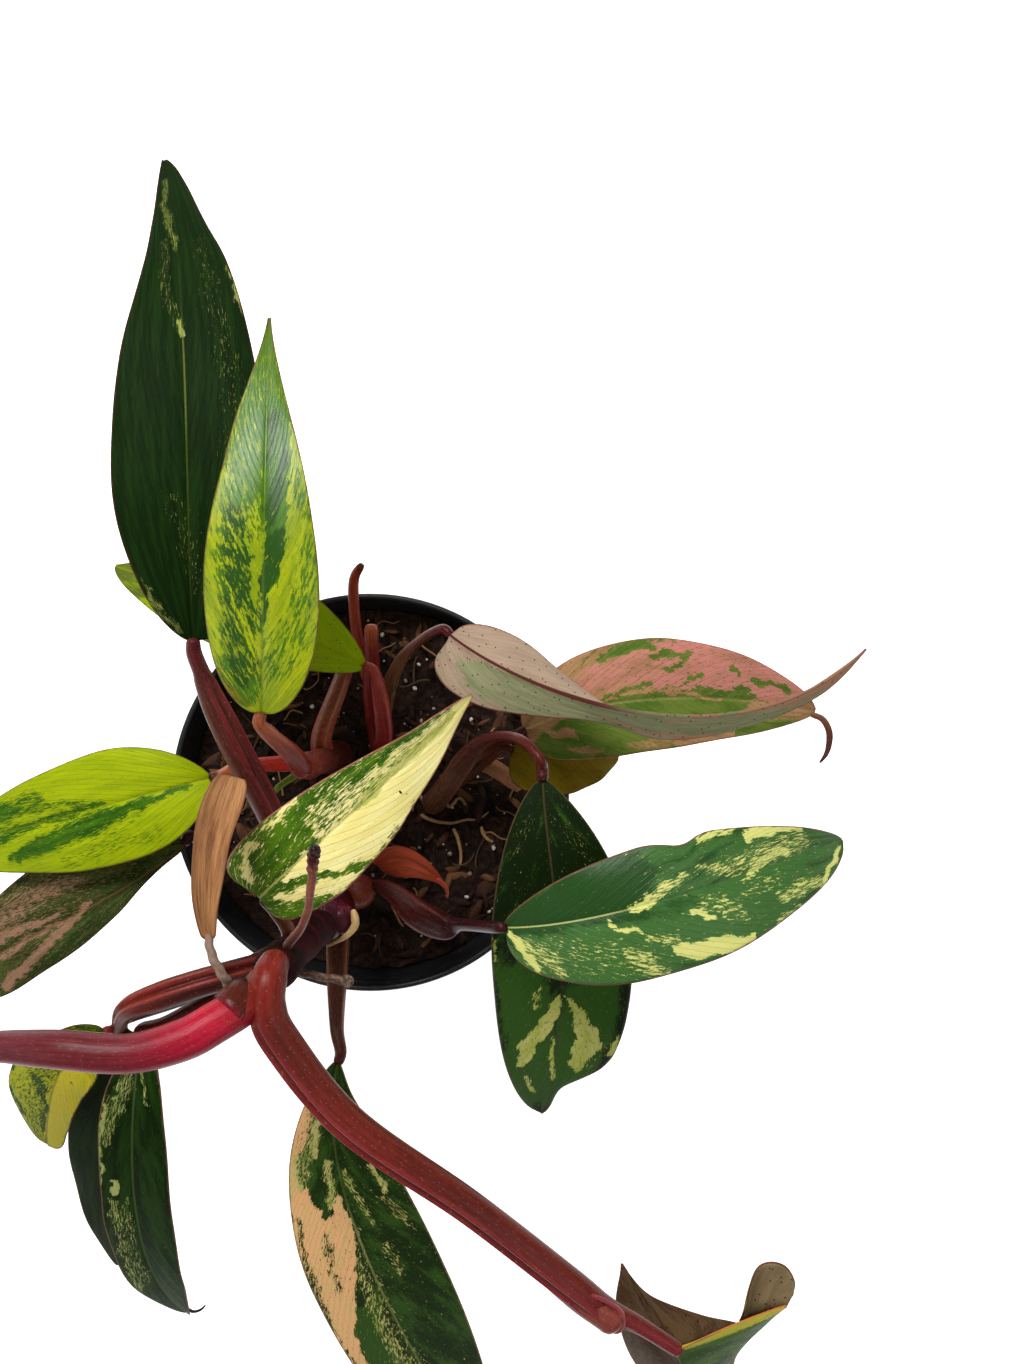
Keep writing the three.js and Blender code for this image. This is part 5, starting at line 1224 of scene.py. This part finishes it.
FRONT = [
    stalk_part(
        [(-9, -36, 76, 6), (-9, -36, 98, 6.2), (-9, -36, 112, 6.4), (-10, -36, 135, 5.6),
         (-10, -37, 165, 5.2), (-11, -36, 195, 5.2), (-12, -37, 220, 5), (-14, -38, 236, 4.6)],
        [DUSK, MAROON, PLUM, MAROON, PLUM, PLUM, MAROON, PLUM], STAND_UP, 14,
        rings=((2, 0.9, 0.08), (3, 0.7, 0.08), (4.1, 0.7, 0.07), (5.1, 0.7, 0.07))),
    stalk_part(
        [(-6, -35, 112, 5.4), (-3, -33, 119, 6), (-1, -31.2, 124, 5)],
        [rgb(90, 36, 24), rgb(104, 48, 34), rgb(86, 34, 24)], STAND_UP, 8),
    stalk_part(
        [(-10, -36, 132, 4.8), (-9.6, -36.5, 148, 6.2), (-9, -36, 159, 6.6), (-8.6, -36, 162, 6)],
        [PLUM, rgb(64, 18, 32), rgb(92, 26, 46), rgb(58, 16, 28), rgb(116, 30, 54), rgb(66, 18, 32), PLUM],
        STAND_UP, 10),
    stalk_part(
        [(-7, -36, 146, 4), (-4.6, -35.8, 156, 5), (-3.4, -35.6, 161.5, 4.6)],
        [PLUM, rgb(52, 16, 26), rgb(96, 20, 40), rgb(50, 14, 22)], STAND_UP, 10),
    stalk_part(
        [(0.2, -31.6, 163, 0.7), (1, -34.2, 163.4, 1.25), (0.9, -37, 163.2, 1.2), (-1.5, -40, 162.6, 0.9),
         (-5.4, -42.3, 162, 0.6), (-8.6, -44, 161.4, 0.4)],
        [CREAM_SCAR, CREAM_SCAR, BARE], STAND_UP, 8),
    stalk_part(
        [(-10.5, -36.5, 168, 4.6), (-11, -36, 184, 5.9), (-11, -35.6, 194, 6.2), (-11, -35.6, 197, 5.6)],
        [PLUM, MAROON, PLUM, DUSK, PLUM, PLUM, MAROON, rgb(104, 36, 44)], STAND_UP, 10),
    stalk_part(
        [(-11.5, -36.5, 200, 4.4), (-12, -36.5, 214, 5.6), (-12.4, -36.6, 226, 6), (-12.6, -37, 230, 5.2)],
        [DUSK, PLUM, DUSK, PLUM], STAND_UP, 10),
    leaf_stalk(
        "leaf_17", 3.6,
        [(-13, -38, 234, 4.8), (-17, -42, 243, 5), (-24, -46, 247, 5.2), (-32, -50, 249, 5.2),
         (-45, -53, 250, 4.9), (-62, -52, 250, 4.8)],
        [BRICK_DARK, BRICK, rgb(168, 24, 46), rgb(150, 24, 44), rgb(108, 32, 40), rgb(96, 34, 38),
         rgb(98, 42, 48), NECK],
        steps=14, flank=rgb(134, 14, 40)),
    stalk_part(
        [(-17.5, -39.5, 239, 4.2), (-19, -41.8, 243.4, 5.4), (-20.6, -43.6, 245.4, 5.6),
         (-21, -44, 245.8, 5.1)],
        [DUSK, BRICK_DARK, BRICK_DARK, CRIMSON_DARK], steps=8),
    stalk_part(
        [(-11, -32.5, 235, 3.6), (-11.6, -36, 241.5, 4.5), (-11.8, -43, 243.4, 4.7, 0.06),
         (-8, -52, 242.6, 4.6, 0.22), (9, -73, 241, 4.2, 0.28), (39, -95, 238, 3.8, 0.32),
         (65, -117, 233, 3.7, 0.36), (74, -125, 230, 3.2, 0.3), (83, -130.5, 227.6, 2.3),
         (92.6, -137.4, 225.5, 2), (93.4, -138.2, 225.2, 1.9)],
        [rgb(104, 30, 22), rgb(112, 33, 24), rgb(106, 31, 24), rgb(82, 28, 20), rgb(102, 33, 26),
         rgb(82, 28, 22), rgb(98, 30, 26), rgb(102, 30, 28), NECK, NECK, NECK],
        steps=14, edge=rgb(128, 44, 44), seam=(0.35, 1.05), flank=rgb(92, 34, 22)),
    stalk_part(
        [(52, -108, 233, 3), (60, -115.2, 232, 3.5), (68, -122, 231, 3.9), (74.6, -126.8, 230.4, 4),
         (76.6, -128.8, 230.4, 3.9)],
        [rgb(98, 34, 28), rgb(112, 46, 36), rgb(122, 58, 48), rgb(116, 50, 42)]),
    stalk_part(
        [(62, -114.6, 235.4, 0.5), (69.8, -119.3, 234.6, 0.6), (74.5, -121.8, 233.8, 0.6),
         (77.9, -124.8, 232.4, 0.6), (78.9, -128.2, 231.4, 0.6), (77.4, -131, 230.6, 0.5),
         (73.3, -130.2, 230.4, 0.4)],
        [rgb(120, 40, 48), rgb(140, 64, 66), rgb(168, 104, 88)]),
    stalk_part(
        [(-12, -35, 203, 2.2), (-13, -29, 208, 2), (-16, -23.5, 212.4, 1.6), (-18.4, -20.2, 215.6, 1.3)],
        [rgb(104, 58, 34), rgb(96, 52, 32), DUSK]),
    leaf_stalk(
        "leaf_01", 2.1,
        [(-10, -36, 138, 3.8), (-17, -26, 152, 4.2, 0.15), (-25, -1, 167, 4.3, 0.2),
         (-31.4, 16, 178, 4.5, 0.25), (-37, 30, 184, 4.1, 0.25), (-40, 38.6, 187.2, 3.2, 0.15),
         (-41.2, 42, 188, 2.5)],
        [MAROON, MAROON, rgb(76, 32, 26), rgb(82, 38, 30), rgb(76, 34, 28), rgb(66, 24, 22),
         rgb(78, 26, 28), rgb(80, 26, 32)],
        edge=rgb(112, 32, 36), steps=14, seam=(0.35, 1.1), flank=rgb(96, 54, 48)),
    leaf_stalk(
        "leaf_07", 1.6,
        [(-12, -37, 214, 3.6), (-26, -39, 226, 3.7, 0.25), (-34, -41, 228, 3.8, 0.3),
         (-43, -44, 228, 3.8, 0.3), (-52, -48, 225, 3, 0.2)],
        [MAROON, MAROON, BRICK_DARK, BRICK, BRICK_DARK, NECK], edge=rgb(140, 60, 54), seam=(0.1, 0.8)),
    leaf_stalk(
        "leaf_08", 1.6, [(-12, -37, 220, 2.5), (-27, -44, 222, 2.2), (-43, -53, 219, 2)],
        [MAROON, BRICK_DARK]),
    leaf_stalk("leaf_09", 1.8, [(-11, -36, 186, 3), (-40, -50, 194, 2.4)], [PLUM, DUSK]),
    leaf_stalk(
        "leaf_10", 1.7,
        [(-9, -36, 122, 4), (-7, -46, 140, 3.7, 0.3), (-6, -60, 152, 2.9, 0.3), (-5, -70, 160, 2.2, 0.1)],
        [rgb(76, 42, 30), rgb(76, 42, 30), rgb(72, 38, 28), MAROON], edge=rgb(116, 72, 50)),
    leaf_stalk(
        "leaf_12", 1.6,
        [(-8, -36, 106, 4), (2, -31, 118, 2.6), (10, -31, 132, 3, 0.2), (20, -36, 146, 4.3, 0.3),
         (29, -38, 157, 3.8, 0.25), (34, -36.6, 163, 2)],
        [DUSK, DUSK, rgb(56, 20, 16), rgb(56, 20, 15), rgb(50, 18, 14), rgb(52, 18, 22), PLUM, PLUM],
        edge=rgb(88, 38, 34), seam=(-0.9, 1.2)),
    leaf_stalk("leaf_06", 1.9, [(-9, -36, 112, 3), (-35, -25, 127, 2.6)], [DUSK, PLUM]),
]

OLD_GROWTH = (0, 5, 6)

for index in OLD_GROWTH:
    FRONT[index].look = 1

BACK = [
    stalk_part(
        [(-13, 13, 76, 4.6), (-13, 13, 98, 4.8), (-13, 13, 125, 4.4), (-13, 13, 160, 4),
         (-13.6, 13, 184, 3)],
        [CORAL, BRICK, MAROON, BRICK, CORAL], STAND_UP, 14, rings=((2.2, 0.7, 0.06), (3.2, 0.6, 0.06)),
        dry=0.2),
    leaf_stalk(
        "leaf_02", 1.8, [(-12, 12, 176, 3), (-14.4, 18, 190, 2.8, 0.2)],
        [BRICK, CORAL, CORAL_LIGHT, OLD_BROWN]),
    stalk_part(
        [(-17.6, 23.4, 191, 0.5), (-19.6, 25.4, 197, 1.3), (-21.4, 27.4, 202.6, 0.9)],
        [CORAL_LIGHT, TAN_STALK], dry=0.3),
    leaf_stalk(
        "leaf_04", 1.8, [(-13, 13, 146, 3.4), (-21, 13, 154, 2.7, 0.2), (-36, 12, 154, 2.2)],
        [CORAL, rgb(150, 40, 30), CORAL_LIGHT, DUSK]),
    stalk_part(
        [(-13, 13, 128, 4), (-13, 21, 137, 3.4, 0.2), (-7, 36, 142, 2.9, 0.35), (-4, 44, 143, 2.6)],
        [BRICK, CORAL, rgb(118, 60, 40), BRICK], dry=0.15, edge=TAN_STALK, seam=(-0.3, 0.5)),
    stalk_part(
        [(-13, 13, 140, 1.5), (-24, 6, 149, 1.1), (-28, 1, 152, 0.8)],
        [rgb(86, 110, 24), rgb(100, 120, 30)]),
]

NORTH = [
    stalk_part(
        [(4, 14, 76, 4), (4, 14.5, 101, 4.2), (3, 24, 112, 3.8, 0.2), (2, 36, 118, 3.5, 0.3),
         (2, 50, 122, 2.6, 0.1), (2, 59, 124, 2.4)],
        [MAROON, BRICK, rgb(120, 34, 28), rgb(112, 32, 26), BRICK, CORAL_LIGHT], STAND_UP),
    stalk_part(
        [(2, 36, 117, 3), (-3, 53, 119, 2), (-4, 72, 124, 1.8), (0, 79, 130, 1.2)],
        [BRICK, CORAL, CORAL, CORAL, CORAL, INK]),
    leaf_stalk(
        "leaf_03", 1.6, [(4, 16, 107, 3.4), (6, 22, 118, 3, 0.25), (6, 35, 135, 2.6, 0.2)],
        [rgb(134, 40, 36), rgb(140, 46, 42), rgb(140, 52, 44), BRICK], edge=rgb(176, 92, 84)),
    leaf_stalk(
        "leaf_13", 1.4,
        [(4, 20, 110, 3), (7, 33, 124, 2.8, 0.2), (13, 45, 142, 2.1, 0.2), (21, 52, 157, 1.5)],
        [OLD_BROWN, rgb(96, 68, 44), rgb(88, 54, 36), MAROON, MAROON]),
]

EAST = [
    leaf_stalk(
        "leaf_11", 1.7,
        [(22, -4, 76, 4.6), (22, -4, 101, 4.3), (27, 3, 114, 3.6, 0.25), (33, 12, 128, 3.2, 0.35),
         (39, 19, 147, 2.2, 0.2), (46, 22, 162, 1.6, 0.1), (53, 21, 174, 1.6), (58, 16, 179, 1.6)],
        [OLD_BROWN, rgb(84, 54, 38), rgb(92, 58, 42), rgb(80, 46, 34), rgb(76, 36, 30), BRICK_DARK,
         BRICK_DARK, MAROON, PLUM],
        STAND_UP, edge=rgb(128, 78, 58)),
    leaf_stalk("leaf_14", 1.7, [(26, 0, 106, 3), (41, 16, 124, 2.6)], [OLD_BROWN, MAROON]),
    leaf_stalk("leaf_15", 1.6, [(25, 0, 104, 3), (38, 10, 118, 2.4)], [OLD_BROWN, MAROON]),
    # The tan tones of this cut stalk are its own tan made lighter: painted light that lifts the shadow it
    # lies in.
    stalk_part(
        [(24, -2, 102, 3), (37, 11, 112, 3), (56, 1, 119, 2.8)],
        [OLD_BROWN, rgb(176, 124, 84), rgb(140, 96, 66)], dry=0.1),
]

AERIAL_ROOT = [
    (-10.4, -32, 226, 1.3), (-4, -23, 233, 1.1), (-1.2, -12, 240, 1.15), (-0.4, -6, 243, 1.4),
    (0.6, -2.6, 245, 1.4)]
DRIED_ROOT = [(-12, -43.3, 200, 1.3), (-7, -43.8, 202, 1.1), (1, -45.5, 201, 1.3), (4, -46, 200, 2)]
TAN_TAIL = [(-22, -40, 237, 1.5), (-24, -36, 239, 1.3), (-27, -31, 238, 1.2), (-28.5, -26, 236, 1.1)]
RUST_HOOK = [(24, -26, 132.4, 1), (27, -29, 131.4, 0.8), (28.2, -31, 131, 0.5), (28, -34.6, 130, 0.25)]
LEAF_HOOK = [
    (-61.4, -174.6, 122, 0.7), (-59, -176, 121.6, 0.5), (-56.4, -175.4, 121.4, 0.4),
    (-54.2, -173.2, 121.4, 0.2)]
LEAF_TAIL = [
    (151, 28, 123, 1), (155.5, 26.2, 122, 1.1), (157.8, 22.6, 121.6, 1.15), (158.1, 18.8, 121.6, 1.1),
    (157, 14.4, 121.8, 0.8), (154.2, 10.6, 122, 0.25)]
SEEN_ROOTS = [
    [(14.7, -7.4), (20, -10.6), (27.4, -12.2), (33, -11), (38.2, -10.4), (44.4, -5.6)],
    [(27.4, -12.2), (30, -17), (31.4, -24.1), (30.4, -30)],
    [(24, 0), (27, -6.2), (31, -3), (35, -9)],
    [(8, -32), (14, -31), (19, -29), (22, -24)],
    [(12, 2), (17, -3), (20, -10)],
    [(38, -10), (40, -17), (46, -20)],
]
THROWN_ROOTS = 46
ROOT_SPREAD = 58
PALE_ROOT = rgb(168, 128, 86)


def soil_roots():
    """The roots in view and short curved ones thrown over the soil, thinning to their ends."""
    rng = np.random.default_rng(31)
    lines = list(SEEN_ROOTS)
    for k in range(THROWN_ROOTS):
        start = ROOT_SPREAD * np.sqrt(rng.random()) * np.array([np.cos(k * 2.4), np.sin(k * 2.4)])
        turn = k * 1.7 + np.cumsum(rng.normal(0, 0.5, 4))
        steps = (2 + 3 * rng.random(4))[:, None] * np.stack([np.cos(turn), np.sin(turn)], -1)
        lines.append(np.vstack([start, start + np.cumsum(steps, 0)]).tolist())
    parts = []
    for k, line in enumerate(lines):
        seen = k < len(SEEN_ROOTS)
        thick = 0.75 if seen else 0.26 + 0.22 * rng.random()
        rows = [(x, y, soil_top(x, y) + 2.0 + 0.6 * (j % 2), thick * (1 - 0.12 * j))
                for j, (x, y) in enumerate(line)]
        tone = PALE_ROOT if seen else rgb(84 + 34 * (k % 3), 60 + 26 * (k % 3), 40 + 18 * (k % 3))
        parts.append(stalk_part(rows, [tone, tone], steps=4, dry=0.1, ripple=0.08, sides=8))
    make("fine_soil_roots", [ROOT_LOOK], parts)


def thread(name, slot, rows, tones, replaces=(), **touch):
    """A thin root, tail or hook as a piece of its own."""
    make(name, [STALK_LOOK], [stalk_part(rows, tones, **touch)], WELD, replaces)


soil_roots()
make("front_stem_and_stalks", [STALK_LOOK, STEM_LOOK], FRONT, WELD, ["shoot_front"])
make("back_stem_and_stalks", [STALK_LOOK], BACK, WELD, ["shoot_back"])
make("north_stem_and_stalks", [STALK_LOOK], NORTH, WELD, ["shoot_north"])
make("east_stem_and_stalks", [STALK_LOOK], EAST, WELD, ["shoot_east"])
thread("ringed_root", "root", AERIAL_ROOT,
       [PLUM, rgb(112, 62, 48), rgb(130, 76, 60), rgb(70, 18, 22), rgb(16, 8, 8)], ["aerial_root"],
       steps=24, dry=0.15, ripple=0.06,
       rings=((2.5, 0.25, 0.08), (2.9, 0.3, 0.08), (3.3, 0.3, 0.08), (3.7, 0.25, 0.08)))
thread("dry_root", "root", DRIED_ROOT, [rgb(70, 48, 38), rgb(84, 60, 46), rgb(60, 42, 34)], ["dried_root"],
       steps=20, dry=0.9, ripple=0.12)
leaves()
sheath("cataphyll_tan", TAN_LOOK)
thread("tan_sheath_tail", "sheath_tan", TAN_TAIL, [rgb(110, 92, 78), rgb(130, 108, 90)],
       steps=20, dry=0.9, ripple=0.12)
thread("curled_leaf_tail", "leaf_pink", LEAF_TAIL, [rgb(120, 84, 52), rgb(84, 46, 36), rgb(70, 34, 30)])
thread("dry_leaf_hook", "leaf_dark", LEAF_HOOK, [rgb(60, 50, 34), rgb(48, 40, 34)], steps=6)
sheath("cataphyll_rust", RUST_LOOK)
thread("rust_sheath_hook", "sheath_rust", RUST_HOOK, [rgb(150, 56, 30), rgb(140, 60, 44)], steps=6)


# Rolled leaf: two halves fan out from the midrib, and the right half's lobe curls back

ROLLED = dict(
    midrib=((93, -138.2, 224.6), (93, -138, 225), (93, -140, 223.5), (94, -142, 222), (95, -145, 220),
            (96, -152, 214), (99, -163, 202), (105, -182, 172), (112, -205, 130)),
    left=((116, -138, 213), (110, -136.2, 214), (101, -134.6, 213), (88, -130, 212),
          (81.6, -123.6, 212), (80, -121, 212), (79.7, -123.6, 211), (79, -136, 206), (85, -160, 185),
          (98, -188, 152), (111, -205, 130)),
    right=((94.5, -137.5, 226.5), (103, -132, 229), (114, -126.4, 231), (121.5, -124, 231),
           (118.5, -131, 224), (111.5, -148, 210), (118, -178, 172), (113, -205, 130)),
    lobe_root=((110.1, -130.7, 225), (111.5, -129.8, 226), (113, -129.4, 226.3), (114.5, -128.7, 226.6),
               (116.3, -128, 227), (118.3, -127.2, 227.5), (120.3, -126.4, 228), (121.9, -125, 229)),
    lobe_edge=((111.2, -124, 231), (110.9, -118.2, 235), (112.2, -112.8, 236.5), (114.2, -110.5, 237),
               (117.1, -109.7, 238), (120.3, -111.3, 237.5), (122.6, -115.7, 236), (122.7, -120.5, 233)))
OPEN_WAY = (-0.05, 0.4, 0.9)
RIM_START = (94, -137.6)
RIM_DOWN = (0.443, -0.896)


def ruled_part(curves, rows, columns, inside_up, bulge, tint, pale, rim=0.0, border=0.0, inner_rows=0):
    """A sheet between two curves of the rolled leaf; bulge lifts its middle along its normal.

    A face shows the inner side of the leaf where its normal has a share of the way that the roll
    opens, and the outer side elsewhere, or the other way round. The first inner_rows rows, which
    fold sharply, show the inner side on both faces. Pale and tint are levels; rim adds to pale near
    the chord of the rim, and border away from the first curve.
    """
    t = np.linspace(0, 1, rows)
    a, b = (through(ROLLED[name], t * (len(ROLLED[name]) - 1)) for name in curves)
    v = np.linspace(0, 1, columns)[None, :, None]
    place = a[:, None] * (1 - v) + b[:, None] * v
    normal = surface_normals(place)
    place = place + normal * (bulge * np.sin(np.pi * v) * np.sin(np.pi * t)[:, None, None])
    uu = t[:, None] + 0 * v[..., 0]
    vv = 0 * t[:, None] + v[..., 0]
    width = np.linalg.norm(b - a, axis=1)[:, None] + 0 * vv
    across = (uu - 0.2 * vv) * 45
    edge = np.minimum((1 - vv) * width, 50 * np.minimum(uu, 1 - uu))
    below = (place[..., 0] - RIM_START[0]) * RIM_DOWN[0] + (place[..., 1] - RIM_START[1]) * RIM_DOWN[1]
    levels = pale + rim * (1 - rise(below, 0.4, 2.2)) + border * rise(vv, 0.0, 0.3)
    values = dict(pale=levels, tint=0 * uu + tint, deep=0 * uu + 0.5, scar=0 * uu,
                  vein=across * FULL_TURN / VEIN_PITCH, rib=vv * width, edge=edge,
                  ribshow=0 * uu + 0.5, veins=np.stack([across, vv * 24], -1))
    part = two_faced(place, normal, 0 * uu + 0.4, 0 * uu, values)
    upward = ((normal[:-1, :-1] @ np.array(OPEN_WAY)).ravel() > 0).astype(int)
    first_side = upward if inside_up else 1 - upward
    second_side = 1 - first_side
    for side in (first_side, second_side):
        side[:inner_rows * (columns - 1)] = 1
    strip = np.full(len(part.faces) - 2 * len(upward), int(inside_up))
    part.look = np.concatenate([first_side, second_side, strip])
    return part


ROLL_FACE = leaf_skin(
    "leaf_16_upper", 301.0, rgb(34, 62, 22), rgb(66, 96, 34), rgb(172, 168, 50), rgb(186, 176, 62),
    rgb(140, 124, 82), rgb(150, 140, 90), rgb(176, 92, 54), rgb(24, 36, 14))
ROLL_BACK = leaf_skin(
    "leaf_16_under", 317.0, rgb(60, 42, 26), rgb(80, 60, 38), rgb(140, 121, 88), rgb(126, 106, 76),
    rgb(96, 60, 38), rgb(100, 58, 40), rgb(92, 44, 36), rgb(36, 22, 14), gloss=0.6, specks=1.0)
make("leaf_16_rolled_blade", [ROLL_FACE, ROLL_BACK], [
    ruled_part(("midrib", "left"), 90, 18, True, 0.6, -0.4, -0.8, inner_rows=54),
    ruled_part(("midrib", "right"), 90, 18, False, -0.8, -0.5, -0.1, rim=1.4),
    ruled_part(("lobe_root", "lobe_edge"), 30, 14, True, 1.2, -0.5, 0.1, border=1.1),
], 0, ["leaf_16"])


# Stage, camera and lights

FLOOR_HALF = 4.0
CAMERA_PLACE = (0.0498, 0.0388, 0.587)
LIGHTS = (
    ("window_light", (-0.24, 0.66, 1.0), (0.0, 0.02, 0.15), 0.42, 13),
    ("side_light", (-1.2, -0.5, 1.2), (0.0, 0.0, 0.15), 1.2, 4),
    ("far_light", (1.0, -0.4, 1.4), (0.0, 0.0, 0.15), 1.0, 4),
)


def stage():
    """A pale floor that glows a little, so that the ground comes out white."""
    mesh = bpy.data.meshes.new("studio_floor")
    h = FLOOR_HALF
    mesh.from_pydata([(-h, -h, 0), (h, -h, 0), (h, h, 0), (-h, h, 0)], [], [(0, 1, 2, 3)])
    floor = placed("studio_floor", mesh)
    look = Look("pale_floor")
    look.finish((0.86, 0.86, 0.86, 1), 0.9, specular_ior_level=0.1,
                emission_color=(1, 1, 1, 1), emission_strength=0.7)
    mesh.materials.append(look.material)


def camera():
    """A camera that looks straight down, with a lens as long as its sensor is wide."""
    data = bpy.data.cameras.new("above")
    data.lens = 36
    data.sensor_width = 36
    data.clip_start = 0.01
    holder = placed("above", data)
    holder.location = CAMERA_PLACE
    bpy.context.scene.camera = holder


def daylight():
    """Even white light from all round."""
    world = bpy.data.worlds.new("soft_daylight")
    world.use_nodes = True
    world.node_tree.nodes["Background"].inputs["Color"].default_value = (1, 1, 1, 1)
    world.node_tree.nodes["Background"].inputs["Strength"].default_value = 0.42
    bpy.context.scene.world = world
    bpy.context.scene.view_settings.view_transform = "Standard"


def area_light(name, place, aim, size, power):
    """A round lamp, turned to its aim."""
    lamp = bpy.data.lights.new(name, "AREA")
    lamp.shape = "DISK"
    lamp.size = size
    lamp.energy = power
    holder = placed(name, lamp)
    holder.location = place
    way = Vector(aim) - Vector(place)
    holder.rotation_euler = way.to_track_quat("-Z", "Y").to_euler()


stage()
camera()
daylight()
for light in LIGHTS:
    area_light(*light)
